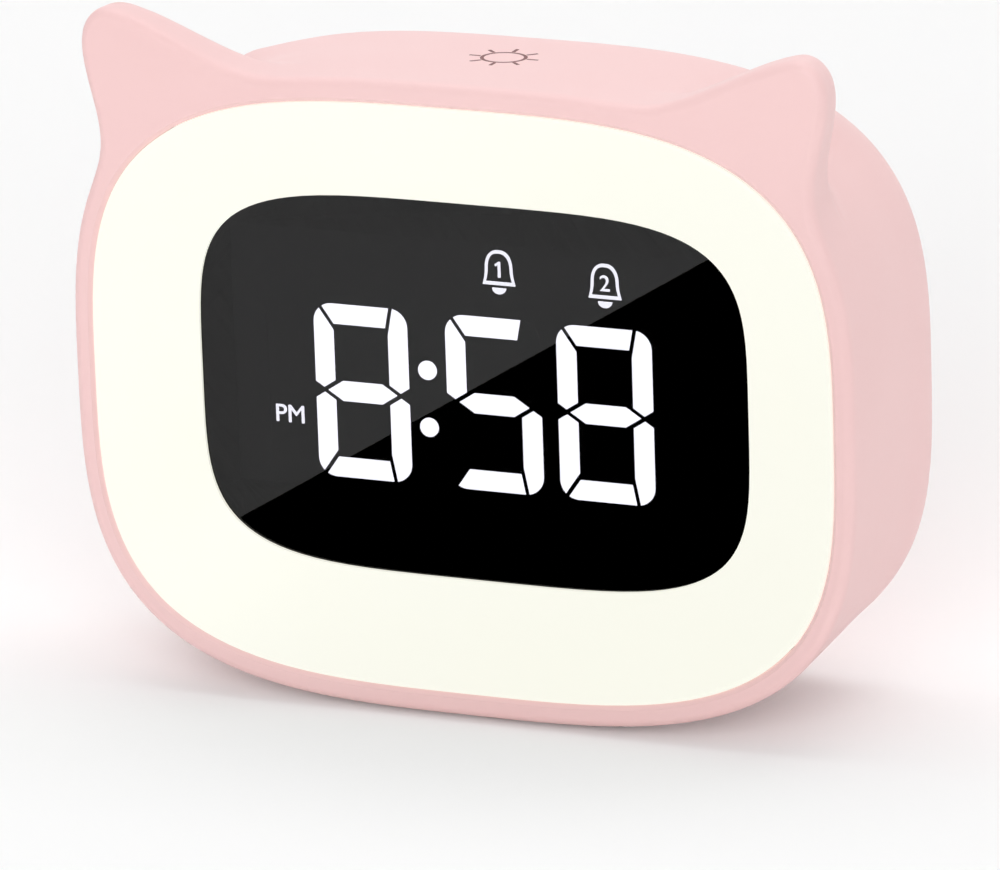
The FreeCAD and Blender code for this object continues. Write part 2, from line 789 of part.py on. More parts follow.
def make_keys():
    flange_back = cover_inner - size.key_gap / 2
    flange_front = flange_back - size.key_flange_height
    switch_top = flange_front - size.key_travel - size.key_gap
    for name, (x, z) in zip(KEY_NAMES, key_places()):
        body = new_body(name, x, flange_front, z)
        padded_plate(body, name + "_flange", size.key_width + size.key_flange * 2,
                     size.key_height + size.key_flange * 2, size.key_flange_height)
        padded_plate(body, name + "_cap", size.key_width, size.key_height,
                     cover_outer + size.key_proud - flange_back, size.key_flange_height, size.key_corner)
        node(body, name)
        stem_length = size.key_travel + size.key_gap + size.key_switch_height / 2
        stem = rod(name + "_pin", size.key_stem_radius, stem_length, x, flange_front - stem_length, z)
        node(stem, name.replace("_key", "_switch_stem"))
        base_depth = switch_top - main_board_back
        base = box(name + "_switch_base", size.key_switch_side, base_depth, size.key_switch_side,
                   x, main_board_back, z)
        well = rod(name + "_switch_well", size.key_stem_radius + size.fit_gap, base_depth, x,
                   main_board_back + size.key_switch_height * 0.1, z)
        node(cut(name + "_switch", base, [well]), name.replace("_key", "_switch"))


# Slide switches: a finger knob in a slot of the cover, on the slider of a small switch.
KNOB_NAMES = ("alarm_1_knob", "alarm_2_knob")


def knob_places():
    return [(size.slide_pitch * number - size.slide_first_offset, middle + size.slide_row_rise)
            for number in range(len(KNOB_NAMES))]


def make_slide_switches():
    plate_back = cover_inner - size.key_gap / 2
    plate_front = plate_back - size.knob_plate
    housing_top = plate_front - size.key_gap / 2
    for name, (x, z) in zip(KNOB_NAMES, knob_places()):
        start = x - size.knob_travel / 2
        body = new_body(name, start, plate_front, z)
        padded_plate(body, name + "_plate", size.knob_width + size.knob_travel * 2,
                     size.knob_height + size.knob_plate_overlap * 2, size.knob_plate)
        padded_plate(body, name + "_grip", size.knob_width, size.knob_height,
                     cover_outer + size.knob_proud - plate_back, size.knob_plate)
        node(body, name)
        tail = size.key_switch_height / 2
        node(box(name + "_tail", size.knob_width * 0.6, tail, size.knob_height * 0.6, start,
                 plate_front - tail, z), name.replace("_knob", "_slider"))
        base = box(name + "_switch_base", size.slide_switch_width, housing_top - main_board_back,
                   size.slide_switch_height, x, main_board_back, z)
        slot = box(name + "_switch_slot", size.knob_width * 0.6 + size.knob_travel + size.fit_gap * 2,
                   size.body_depth, size.knob_height * 0.6 + size.fit_gap * 2, x,
                   housing_top - size.key_switch_height * 0.8, z)
        node(cut(name + "_switch", base, [slot]), name.replace("_knob", "_slide_switch"))


# Charging socket: a thin metal shell standing on the main board, with its contact tongue.
def make_socket():
    z = middle - size.socket_drop
    length = cover_outer - size.socket_front_gap - main_board_back
    floor = size.socket_wall * 3
    wall = size.socket_wall * 2
    shell = new_body("socket_outer", ZERO, main_board_back, z)
    padded_plate(shell, "socket_outer_pad", size.socket_width, size.socket_height, length, ZERO,
                 size.socket_height * SOCKET_ROUNDING)
    inside = new_body("socket_inside", ZERO, main_board_back + floor, z)
    padded_plate(inside, "socket_inside_pad", size.socket_width - wall, size.socket_height - wall,
                 size.body_depth, ZERO, (size.socket_height - wall) * SOCKET_ROUNDING)
    node(cut("socket", shell, [inside]), "charging_socket")
    node(box("tongue", size.socket_tongue_width, length - floor - size.socket_front_gap * 2,
             size.socket_tongue_thickness, ZERO, main_board_back + floor, z), "socket_tongue")


# Speaker against the inside of the cover, behind its grille.
def make_speaker():
    x, z = size.speaker_offset, middle - size.speaker_drop
    radius, rim = size.speaker_radius, size.speaker_rim
    gasket_front = cover_inner - size.speaker_gasket
    node(turned_body("gasket", [(radius - rim, ZERO), (radius, ZERO), (radius, size.speaker_gasket),
                                (radius - rim, size.speaker_gasket)], x, gasket_front, z), "speaker_gasket")
    depth = size.speaker_frame_depth
    sheet_metal = rim / 2
    frame = [(ZERO, -depth), (size.speaker_magnet_radius + rim, -depth), (radius, -sheet_metal),
             (radius, ZERO), (radius - rim, ZERO), (radius - rim, -sheet_metal),
             (size.speaker_magnet_radius + rim / 2, sheet_metal - depth), (ZERO, sheet_metal - depth)]
    node(turned_body("frame", frame, x, gasket_front, z), "speaker_frame")
    cone_top = -sheet_metal * 0.2
    cone_edge = radius - rim - size.fit_gap
    cone = [(ZERO, -depth * 0.45), (size.speaker_magnet_radius * 0.5, -depth * 0.45),
            (cone_edge, cone_top - sheet_metal * 0.4), (cone_edge, cone_top),
            (size.speaker_magnet_radius * 0.5, -depth * 0.45 + sheet_metal * 0.4),
            (ZERO, -depth * 0.45 + sheet_metal * 0.4)]
    node(turned_body("cone", cone, x, gasket_front, z), "speaker_cone")
    node(rod("magnet", size.speaker_magnet_radius, size.speaker_magnet_depth, x,
             gasket_front - depth - size.speaker_magnet_depth, z), "speaker_magnet")


# Main board on posts of the rear cover, with its chips, crystal and board-to-board header.
def board_post_places():
    across = size.main_board_width / 2 - size.board_post_inset
    upright = size.main_board_height / 2 - size.board_post_inset
    return [(across * side, middle + upright * rise) for side in (-1, 1) for rise in (-1, 1)]


def make_main_board():
    body = new_body("main_card", ZERO, main_board_front, middle)
    padded_plate(body, "main_card_plate", size.main_board_width, size.main_board_height, size.board_thickness)
    tools = [rod("board_speaker_hole", size.speaker_radius + size.speaker_board_gap,
                 size.board_thickness * 3, size.speaker_offset, main_board_front - size.board_thickness,
                 middle - size.speaker_drop)]
    for number, (x, z) in enumerate(board_post_places()):
        tools.append(rod(f"board_screw_hole_{number}", size.small_screw_radius + size.fit_gap,
                         size.board_thickness * 3, x, main_board_front - size.board_thickness, z))
    node(cut("main_card_cut", body, tools), "main_board")
    chips = []
    for name, across, upright, side in (("controller", 0.27, 0.23, size.controller_side),
                                        ("driver", -0.05, 0.3, size.driver_side),
                                        ("charger", 0.18, -0.42, size.small_chip_side),
                                        ("amplifier", 0.16, -0.22, size.small_chip_side)):
        chips.append(box(f"chip_{name}", side, size.chip_height, side, size.main_board_width * across,
                         main_board_front - size.chip_height, middle + size.main_board_height * upright))
    node(group("chip_set", chips), "board_chips")
    node(rod("crystal", size.crystal_radius, size.crystal_length, size.main_board_width * 0.3,
             main_board_front - size.crystal_radius, middle + size.main_board_height * 0.42, FACING_RIGHT),
         "timing_crystal")
    node(box("header", size.header_length, main_board_front - display_board_back, size.header_height, ZERO,
             display_board_back,
             middle + size.display_rise + size.display_height / 2 - size.header_height), "board_header")


# Touch key: a thin plate under the roof of the shell, and a strip that joins it to the main board.
def make_touch_key():
    roof = middle + size.back_half_height - size.shell_wall
    y = front + size.touch_setback - size.touch_plate_depth / 2
    sag = size.touch_plate_thickness * 3
    plate = box("plate", size.touch_plate_width, size.touch_plate_depth, size.touch_plate_thickness,
                ZERO, y, roof - sag / 2)
    node(plate, "touch_plate")
    foot_top = roof - sag / 2 - size.touch_plate_thickness / 2
    overlap = size.board_post_inset
    bottom = middle + size.main_board_height / 2 - overlap
    thin = size.touch_plate_thickness
    strip = box("strip_riser", size.touch_strip_width, thin, foot_top - bottom, ZERO,
                main_board_front - thin, (foot_top + bottom) / 2)
    toe = box("strip_toe", size.touch_strip_width, size.touch_strip_width, thin, ZERO,
              main_board_front - size.touch_strip_width, foot_top - thin / 2)
    node(joined("strip", [strip, toe]), "touch_contact")


# Wiring: straight runs joined by tangent arcs, swept with the round section of the lead.
def lead(name, label, points, radius, bend):
    corners = [Vector(*[float(part) for part in point]) for point in points]
    edges = []
    start = corners[0]
    for number in range(1, len(corners) - 1):
        before = (corners[number - 1] - corners[number]).normalize()
        after = (corners[number + 1] - corners[number]).normalize()
        turn = math.pi - before.getAngle(after)
        trim = bend * math.tan(turn / 2)
        enter = corners[number] + before * trim
        leave = corners[number] + after * trim
        towards = (before + after).normalize()
        arc_middle = corners[number] + towards * (bend / math.cos(turn / 2) - bend)
        edges.append(Part.LineSegment(start, enter).toShape())
        edges.append(Part.Arc(enter, arc_middle, leave).toShape())
        start = leave
    edges.append(Part.LineSegment(start, corners[-1]).toShape())
    path = Part.Wire(edges)
    heading = (corners[1] - corners[0]).normalize()
    section = Part.Wire(Part.makeCircle(radius, corners[0], heading))
    swept = path.makePipeShell([section], True, False)
    print(f"{label}: volume over section times length",
          round(swept.Volume / (math.pi * radius * radius * path.Length), 4))
    node(formed(name, swept), label)


def make_leads():
    radius, bend = float(size.lead_radius), float(size.lead_bend)
    x = size.speaker_offset
    light_x, light_z = light_lead_place()
    halfway = (shelf_back + main_board_front) / 2
    landing = middle - size.main_board_height / 2 + size.board_post_inset
    lead("light_wire", "light_lead", [(light_x, tray_floor, light_z), (light_x, halfway, light_z),
                                      (light_x, halfway, landing), (light_x, main_board_front, landing)],
         radius, bend * 0.8)
    edge = x + size.speaker_magnet_radius + size.speaker_rim / 2
    below = main_board_front - size.lead_bend * 1.4
    far = middle + size.speaker_radius - size.speaker_drop + size.lead_bend * 2
    lead("speaker_wire", "speaker_lead",
         [(edge, cover_inner - size.speaker_gasket - size.speaker_frame_depth, middle - size.speaker_drop),
          (edge, below, middle - size.speaker_drop), (edge, below, far), (edge, main_board_front, far)],
         radius, bend)
    pouch_end = size.battery_width / 2 - size.battery_offset
    depth = display_board_back + size.battery_pad_thickness + size.battery_thickness / 2
    level = middle - size.battery_drop * 0.5
    lead("battery_wire", "battery_lead",
         [(pouch_end, depth, level), (pouch_end + size.lead_bend * 1.6, depth, level),
          (pouch_end + size.lead_bend * 1.6, main_board_front, level)], radius, bend)


# Rear cover: a flat plate inside the rim of the shell, with every opening of the back.
def grille_places():
    """Holes on rings round the speaker's axis, from the centre outwards."""
    places = [(0.0, 0.0)]
    step = float(size.grille_ring_step)
    rings = int((float(size.speaker_radius - size.speaker_rim) - float(size.grille_hole_radius)) / step)
    for ring in range(1, rings + 1):
        places += [(ring * step * math.cos(math.pi * turn / (3 * ring)),
                    ring * step * math.sin(math.pi * turn / (3 * ring))) for turn in range(6 * ring)]
    return places


def make_rear_cover():
    half_width = size.back_half_width - size.shell_wall - size.fit_gap
    half_height = size.back_half_height - size.shell_wall - size.fit_gap
    shape = ring_plug(cover_inner, cover_outer, half_width, half_height, FACE_POWER)
    for x, z in board_post_places():
        start = Vector(float(x), float(main_board_back), float(z))
        shape = shape.fuse(Part.makeCylinder(float(size.board_post_radius), float(size.main_board_standoff),
                                             start, Vector(0, 1, 0)))
    plate = formed("cover_plate", shape)
    through = size.cover_thickness * 3
    start = cover_inner - size.cover_thickness
    tools = []
    for name, (x, z) in zip(KEY_NAMES, key_places()):
        opening = new_body(name + "_opening", x, start, z)
        padded_plate(opening, name + "_opening_pad", size.key_width + size.key_gap * 2,
                     size.key_height + size.key_gap * 2, through, ZERO, size.key_corner + size.key_gap)
        tools.append(opening)
    for name, (x, z) in zip(KNOB_NAMES, knob_places()):
        tools.append(box(name + "_slot", size.knob_width + size.knob_travel + size.key_gap * 2, through,
                         size.knob_height + size.key_gap * 2, x, start, z))
    socket_opening = new_body("socket_opening", ZERO, start, middle - size.socket_drop)
    padded_plate(socket_opening, "socket_opening_pad", size.socket_width + size.key_gap * 2,
                 size.socket_height + size.key_gap * 2, through, ZERO,
                 size.socket_height * SOCKET_ROUNDING + size.key_gap)
    tools.append(socket_opening)
    for side in (-1, 1):
        for rise in (-1, 1):
            x = size.boss_spacing_x / 2 * side
            z = middle + size.boss_spacing_z / 2 * rise
            tag = f"{side}_{rise}".replace("-", "m")
            tools.append(rod(f"cover_screw_hole_{tag}", size.screw_radius + size.fit_gap, through, x, start, z))
            tools.append(rod(f"cover_screw_sink_{tag}", size.screw_head_radius + size.fit_gap, through, x,
                             cover_outer - size.screw_head_height, z))
    for number, (x, z) in enumerate(board_post_places()):
        tools.append(rod(f"post_pilot_{number}", size.small_screw_radius, size.small_screw_length, x,
                         main_board_back, z))
    for number, (x, z) in enumerate(grille_places()):
        tools.append(rod(f"grille_hole_{number}", size.grille_hole_radius, through,
                         size.speaker_offset + Measure(x, str(round(x, 4))), start,
                         middle - size.speaker_drop + Measure(z, str(round(z, 4)))))
    node(cut("cover", plate, tools), "rear_cover")


def make_screws():
    corners = [(size.boss_spacing_x / 2 * side, middle + size.boss_spacing_z / 2 * rise)
               for side in (-1, 1) for rise in (-1, 1)]
    head = (size.screw_head_radius, size.screw_head_height)
    screw_set("cover_screw", "cover_screws", corners, cover_outer - size.screw_head_height,
              screw_profile(size.screw_radius, size.screw_length, *head))
    small = screw_profile(size.small_screw_radius, size.small_screw_length, size.small_screw_head_radius,
                          size.small_screw_head_height)
    screw_set("tray_screw", "tray_screws", tray_post_places(), shelf_back, small)
    screws = [turned_body(f"board_screw_{number}", small, x, main_board_front, z, FACING_FRONT)
              for number, (x, z) in enumerate(board_post_places())]
    node(group("board_screw_set", screws), "board_screws")


def make_feet():
    names = ("front_left_foot", "front_right_foot", "rear_left_foot", "rear_right_foot")
    bevel = size.foot_stand / 3
    profile = [(ZERO, ZERO), (size.foot_radius - bevel, ZERO), (size.foot_radius, bevel),
               (size.foot_radius, size.foot_height), (ZERO, size.foot_height)]
    for name, (x, y) in zip(names, foot_places()):
        node(turned_body(name + "_pad", profile, x, y, ZERO, UPRIGHT), name)


make_housing()
make_light_panel()
make_tray()
make_light_board()
make_display()
make_battery()
make_rear_cover()
make_keys()
make_slide_switches()
make_socket()
make_speaker()
make_main_board()
make_touch_key()
make_leads()
make_screws()
make_feet()
doc.recompute()

for thing in doc.Objects:
    if "Invalid" in thing.State or "Error" in thing.State:
        raise RuntimeError(f"{thing.Name} failed: {thing.State}")
os.makedirs("parts", exist_ok=True)
for thing in nodes:
    shape = thing.Shape
    if shape.isNull() or not shape.isValid() or not shape.Solids:
        raise RuntimeError(f"{thing.Label} has no sound shape")
for thing in nodes:
    thing.Shape.exportStep(f"parts/{thing.Label}.step")
print(len(nodes), "nodes written")
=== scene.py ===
import bmesh
import bpy
import math
from mathutils import Matrix, Vector
from mathutils.bvhtree import BVHTree


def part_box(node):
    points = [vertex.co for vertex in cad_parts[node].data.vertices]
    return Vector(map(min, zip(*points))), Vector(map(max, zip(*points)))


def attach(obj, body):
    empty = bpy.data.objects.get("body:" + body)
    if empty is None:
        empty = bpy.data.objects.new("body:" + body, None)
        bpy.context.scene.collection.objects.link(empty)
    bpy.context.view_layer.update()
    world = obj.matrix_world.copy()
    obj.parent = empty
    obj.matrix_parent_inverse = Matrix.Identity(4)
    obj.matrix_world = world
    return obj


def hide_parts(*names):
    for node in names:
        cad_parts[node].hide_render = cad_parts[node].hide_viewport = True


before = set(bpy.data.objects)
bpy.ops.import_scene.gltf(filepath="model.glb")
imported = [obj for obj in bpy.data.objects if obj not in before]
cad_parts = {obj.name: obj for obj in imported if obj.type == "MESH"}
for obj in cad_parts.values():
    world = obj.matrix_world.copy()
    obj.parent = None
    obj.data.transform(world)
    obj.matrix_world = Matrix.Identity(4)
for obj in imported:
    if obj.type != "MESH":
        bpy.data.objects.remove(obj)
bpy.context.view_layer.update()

# Camera
# The clock is seen from a little to its right and from above, from about a metre and a
# quarter away through a long lens, so its sides stay nearly parallel.
MM = 0.001
PHOTO_WIDTH = 1000
SENSOR_WIDTH = 36.0
VIEW_PITCH = math.radians(18.15)
VIEW_YAW = math.radians(22.54)
VIEW_ROLL = math.radians(-1.91)
VIEW_DISTANCE = 1303 * MM
FOCAL_PIXELS = 8461
AIM_RIGHT_OF_FACE = 6.7 * MM
AIM_BELOW_FACE = 4.48 * MM

panel_low, panel_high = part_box("light_panel")
shell_low, shell_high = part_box("housing_shell")
face_centre = Vector((0, shell_low.y, (panel_low.z + panel_high.z) / 2))
towards_camera = Vector((math.sin(VIEW_YAW) * math.cos(VIEW_PITCH),
                         -math.cos(VIEW_YAW) * math.cos(VIEW_PITCH), math.sin(VIEW_PITCH)))
level_right = Vector((0, 0, 1)).cross(towards_camera).normalized()
level_up = towards_camera.cross(level_right)
view_right = level_right * math.cos(VIEW_ROLL) + level_up * math.sin(VIEW_ROLL)
view_up = level_up * math.cos(VIEW_ROLL) - level_right * math.sin(VIEW_ROLL)
camera_data = bpy.data.cameras.new("photo_camera")
camera_data.sensor_width = SENSOR_WIDTH
camera_data.lens = FOCAL_PIXELS * SENSOR_WIDTH / PHOTO_WIDTH
camera_data.clip_end = 20
camera = bpy.data.objects.new("photo_camera", camera_data)
bpy.context.scene.collection.objects.link(camera)
camera_place = (face_centre + towards_camera * VIEW_DISTANCE
                + view_right * AIM_RIGHT_OF_FACE - view_up * AIM_BELOW_FACE)
camera.matrix_world = Matrix((
    (view_right.x, view_up.x, towards_camera.x, camera_place.x),
    (view_right.y, view_up.y, towards_camera.y, camera_place.y),
    (view_right.z, view_up.z, towards_camera.z, camera_place.z),
    (0, 0, 0, 1),
))
bpy.context.scene.camera = camera
bpy.context.scene.view_settings.view_transform = "Standard"


# Table and backdrop
# A white sheet that lies under the clock and sweeps up behind it, matte, so that it takes
# only a soft grey shadow.
def hex_colour(code):
    """The linear colour of an sRGB hex code."""
    parts = [int(code[start:start + 2], 16) / 255 for start in (1, 3, 5)]
    linear = [part / 12.92 if part <= 0.04045 else ((part + 0.055) / 1.055) ** 2.4 for part in parts]
    return (*linear, 1.0)


def add_node(tree, kind, inputs=None, **settings):
    """Adds a node with its settings; each input is a value or another node's output."""
    made = tree.nodes.new(kind)
    for name, value in settings.items():
        setattr(made, name, value)
    for name, value in (inputs or {}).items():
        if isinstance(value, bpy.types.NodeSocket):
            tree.links.new(value, made.inputs[name])
        else:
            made.inputs[name].default_value = value
    return made


def new_material(name):
    """An empty node material and its tree."""
    material = bpy.data.materials.new(name)
    material.use_nodes = True
    material.node_tree.nodes.clear()
    return material, material.node_tree


def finish_material(tree, shader):
    add_node(tree, "ShaderNodeOutputMaterial", {"Surface": shader.outputs[0]})


def piece_from(name, mesh):
    thing = bpy.data.objects.new(name, mesh)
    bpy.context.scene.collection.objects.link(thing)
    return thing


SWEEP_HALF_WIDTH = 3.0
SWEEP_FRONT = -3.0
SWEEP_BACK = 1.6
SWEEP_RADIUS = 0.8
SWEEP_TOP = 3.0
SWEEP_STEPS = 12
profile = [(SWEEP_FRONT, 0.0), (SWEEP_BACK - SWEEP_RADIUS, 0.0)]
for step in range(1, SWEEP_STEPS + 1):
    turn = math.radians(90 * step / SWEEP_STEPS)
    profile.append((SWEEP_BACK - SWEEP_RADIUS + SWEEP_RADIUS * math.sin(turn),
                    SWEEP_RADIUS * (1 - math.cos(turn))))
profile.append((SWEEP_BACK, SWEEP_TOP))
vertices = [(side * SWEEP_HALF_WIDTH, y, z) for y, z in profile for side in (-1, 1)]
faces = [(2 * row, 2 * row + 1, 2 * row + 3, 2 * row + 2) for row in range(len(profile) - 1)]
sweep_mesh = bpy.data.meshes.new("white_sweep")
sweep_mesh.from_pydata(vertices, [], faces)
sweep_mesh.polygons.foreach_set("use_smooth", [True] * len(faces))
sweep = piece_from("white_sweep", sweep_mesh)
paper, tree = new_material("matte_white_paper")
finish_material(tree, add_node(tree, "ShaderNodeBsdfDiffuse",
                               {"Color": hex_colour("#FAFAFA"), "Roughness": 1.0}))
sweep_mesh.materials.append(paper)

# A dark card, seen only in the window, stands for the unlit side of the room that the mirrored
# glass picks up: its slanting edge divides the glass into a grey and a black part.
CARD_DISTANCE = 0.04
CARD_REACH = 0.5
EDGE_LOW = Vector((-40.3, 0, -24.5)) * MM
EDGE_HIGH = Vector((40.1, 0, 25.0)) * MM
mirrored_view = Vector((-towards_camera.x, towards_camera.y, -towards_camera.z))
card_origin = face_centre + mirrored_view * CARD_DISTANCE
along_edge = (EDGE_HIGH - EDGE_LOW).normalized()
across_edge = Vector((along_edge.z, 0, -along_edge.x))
card_mesh = bpy.data.meshes.new("dark_card")
card_corners = [card_origin + EDGE_LOW + along_edge * along + across_edge * across
                for along, across in ((-CARD_REACH, 0), (2 * CARD_REACH, 0),
                                      (2 * CARD_REACH, CARD_REACH), (-CARD_REACH, CARD_REACH))]
card_mesh.from_pydata(card_corners, [], [(0, 1, 2, 3)])
card = piece_from("dark_card", card_mesh)
felt, tree = new_material("black_felt")
finish_material(tree, add_node(tree, "ShaderNodeBsdfDiffuse", {"Color": hex_colour("#020202")}))
card_mesh.materials.append(felt)
card.visible_camera = False
card.visible_diffuse = False
card.visible_shadow = False

# Light
# A broad light from overhead and somewhat behind, so that a soft shade lies in front of the base,
# another from the front and a little to the right, and an even sky.
def add_sun(name, direction, strength, spread):
    light = bpy.data.lights.new(name, "SUN")
    light.energy = strength
    light.angle = math.radians(spread)
    lamp = bpy.data.objects.new(name, light)
    bpy.context.scene.collection.objects.link(lamp)
    lamp.rotation_euler = Vector(direction).to_track_quat("Z", "Y").to_euler()


add_sun("overhead_light", (-0.1, 0.45, 1.0), 2.0, 70)
add_sun("front_light", (0.3, -1.0, 0.2), 1.32, 60)
world = bpy.data.worlds.new("even_sky")
world.use_nodes = True
bpy.context.scene.world = world
sky_tree = world.node_tree
sky_tree.nodes.clear()
sky = add_node(sky_tree, "ShaderNodeBackground", {"Color": (1, 1, 1, 1), "Strength": 0.5})
add_node(sky_tree, "ShaderNodeOutputWorld", {"Surface": sky.outputs[0]})


# Shell and rear cover
# Injection moulded ABS in a blush pink with a fine spark-eroded grain, which breaks up the
# highlights so that it looks like soft satin; the cover is a little deeper in colour and screwed on.
CLOUD_SIZE = 35 * MM
GLOSS_SPREAD = 0.06


def moulded_plastic(name, shade, deeper, grain, roughness, relief=0.02, specular=0.5):
    """Satin moulded plastic: a cloudy colour, and a grain of the given size in millimetres."""
    material, tree = new_material(name)
    place = add_node(tree, "ShaderNodeTexCoord")
    cloud = add_node(tree, "ShaderNodeTexNoise",
                     {"Vector": place.outputs["Object"], "Scale": 1 / CLOUD_SIZE, "Detail": 2.0})
    colour = add_node(tree, "ShaderNodeMix",
                      {0: cloud.outputs["Fac"], 6: hex_colour(shade), 7: hex_colour(deeper)},
                      data_type="RGBA")
    sparks = add_node(tree, "ShaderNodeTexNoise",
                      {"Vector": place.outputs["Object"], "Scale": 1 / (grain * MM), "Detail": 3.0})
    gloss = add_node(tree, "ShaderNodeMapRange", {
        "Value": sparks.outputs["Fac"],
        "To Min": roughness - GLOSS_SPREAD, "To Max": roughness + GLOSS_SPREAD})
    bump = add_node(tree, "ShaderNodeBump",
                    {"Height": sparks.outputs["Fac"], "Strength": 0.35, "Distance": relief * MM})
    shader = add_node(tree, "ShaderNodeBsdfPrincipled", {
        "Base Color": colour.outputs[2], "Roughness": gloss.outputs["Result"],
        "Normal": bump.outputs["Normal"], "IOR": 1.53, "Specular IOR Level": specular})
    finish_material(tree, shader)
    return material


def dress(node, material):
    """Gives a CAD node a new material in place of its plain one."""
    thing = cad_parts[node]
    thing.data.materials.clear()
    thing.data.materials.append(material)
    return thing


blush_abs = moulded_plastic("spark_eroded_blush_ABS", "#F4CFCE", "#F1C8C7", 0.45, 0.46)
dress("housing_shell", blush_abs)
blush_cover_abs = moulded_plastic("spark_eroded_blush_ABS_cover", "#EFC3C2", "#ECBDBC", 0.6, 0.52)
dress("rear_cover", blush_cover_abs)

# Light panel
# A dished ring of opal polycarbonate, moulded in one piece; its pigment spreads the light of
# the chips behind it, so that it glows evenly in a warm white.
opal, tree = new_material("opal_polycarbonate")
place = add_node(tree, "ShaderNodeTexCoord")
haze = add_node(tree, "ShaderNodeTexNoise",
                {"Vector": place.outputs["Object"], "Scale": 1 / (30 * MM), "Detail": 1.0})
glow = add_node(tree, "ShaderNodeMix",
                {0: haze.outputs["Fac"], 6: hex_colour("#FFFFF4"), 7: hex_colour("#FFFEF0")},
                data_type="RGBA")
finish_material(tree, add_node(tree, "ShaderNodeBsdfPrincipled", {
    "Base Color": hex_colour("#8C8C86"), "Roughness": 0.42, "IOR": 1.58,
    "Emission Color": glow.outputs[2], "Emission Strength": 0.72}))
dress("light_panel", opal)

# Display window
# A flat plate of smoked acrylic with a thin coat, set in the opening of the panel: it reflects the
# room a little and lets only the lit figures through.
smoked, tree = new_material("mirror_coated_smoked_acrylic")
finish_material(tree, add_node(tree, "ShaderNodeBsdfPrincipled", {
    "Base Color": hex_colour("#505054"), "Roughness": 0.0, "IOR": 1.4,
    "Transmission Weight": 1.0}))
dress("display_lens", smoked)

# Border behind the window
# A matt black screen print on the back of the window hides the tray; only the display shows
# through its opening.
screen_ink = moulded_plastic("black_screen_ink", "#020202", "#010101", 0.8, 0.9, 0.01, 0.0)
dress("display_mask", screen_ink)

# Figures
# Milky diffuser bars on a black film that lies on the display block, lit white from behind. Each
# figure is a rounded frame that thin black breaks divide into seven bars.
FIGURE_WIDTH = 15.7 * MM
FIGURE_HEIGHT = 28.3 * MM
BAR = 3.25 * MM
BREAK = 0.7 * MM
CORNER = 3.0 * MM
TIP_INSET = 1.4 * MM
SECOND_PITCH = 18.5 * MM
FIRST_PITCH = 22.1 * MM
TENS_PITCH = 23.7 * MM
BAR_PROUD = 0.35 * MM
FILM_PROUD = 0.15 * MM
FILM_INSET = 0.3 * MM
LEFT_BREAK = Vector((1.2, -0.75)) * MM
LEFT_BREAK_SLOPE = Vector((0.57, -0.82))
RIGHT_BREAK = Vector((-2.75, 0)) * MM
RIGHT_BREAK_SLOPE = Vector((-0.19, -0.98))
CHEVRON_SLOPE = Vector((1.0, 0.65))
CORNER_STEPS = 8
segments_low, segments_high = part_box("digit_segments")


def kept_part(outline, point, towards):
    """The part of a convex outline on the side of a line that a vector points to."""
    side = [(corner - point).dot(towards) for corner in outline]
    result = []
    for number, here in enumerate(outline):
        following = (number + 1) % len(outline)
        if side[number] >= 0:
            result.append(here)
        if side[number] * side[following] < 0:
            share = side[number] / (side[number] - side[following])
            result.append(here.lerp(outline[following], share))
    return result


def figure_bars():
    """The seven bars of a figure round its centre, by letter."""
    side, top, half = FIGURE_WIDTH / 2, FIGURE_HEIGHT / 2, BAR / 2
    frame_outline = []
    for x, z, start in ((side, top, 0), (-side, top, 90), (-side, -top, 180), (side, -top, 270)):
        for step in range(CORNER_STEPS + 1):
            turn = math.radians(start + 90 * step / CORNER_STEPS)
            frame_outline.append(Vector((x - math.copysign(CORNER, x) + CORNER * math.cos(turn),
                                         z - math.copysign(CORNER, z) + CORNER * math.sin(turn))))
    left_break = Vector((-side, top)) + LEFT_BREAK
    left_along = LEFT_BREAK_SLOPE.normalized()
    left_across = Vector((-left_along.y, left_along.x))
    right_break = Vector((side, top)) + RIGHT_BREAK
    right_along = RIGHT_BREAK_SLOPE.normalized()
    right_across = Vector((-right_along.y, right_along.x))
    chevron = CHEVRON_SLOPE.normalized()
    chevron_up = Vector((-chevron.y, chevron.x))
    left_tip = Vector((-side + TIP_INSET, 0))
    gap = BREAK / 2

    top_bar = kept_part(frame_outline, Vector((0, top - BAR)), Vector((0, 1)))
    top_bar = kept_part(top_bar, left_break + left_across * gap, left_across)
    top_bar = kept_part(top_bar, right_break - right_across * gap, -right_across)
    left_bar = kept_part(frame_outline, Vector((-side + BAR, 0)), Vector((-1, 0)))
    left_bar = kept_part(left_bar, left_break - left_across * gap, -left_across)
    left_bar = kept_part(left_bar, left_tip + chevron_up * gap, chevron_up)
    outer_up = Vector((-chevron_up.x, chevron_up.y))
    left_bar = kept_part(left_bar, left_tip + outer_up * gap, outer_up)
    right_bar = kept_part(frame_outline, Vector((side - BAR, 0)), Vector((1, 0)))
    right_bar = kept_part(right_bar, right_break + right_across * gap, right_across)
    for across in (chevron_up, outer_up):
        right_bar = kept_part(right_bar, Vector((-left_tip.x, 0)) + across * gap, across)
    middle_bar = kept_part(frame_outline, Vector((0, half)), Vector((0, -1)))
    middle_bar = kept_part(middle_bar, Vector((0, -half)), Vector((0, 1)))
    for turn_x in (1, -1):
        for turn_z in (1, -1):
            tip = Vector((left_tip.x * turn_x, 0))
            inward = Vector((-chevron_up.x * turn_x, -chevron_up.y * turn_z))
            middle_bar = kept_part(middle_bar, tip + inward * gap, inward)

    def under(outline):
        return [Vector((corner.x, -corner.y)) for corner in outline]

    return {"a": top_bar, "f": left_bar, "b": right_bar, "g": middle_bar,
            "d": under(top_bar), "e": under(left_bar), "c": under(right_bar)}


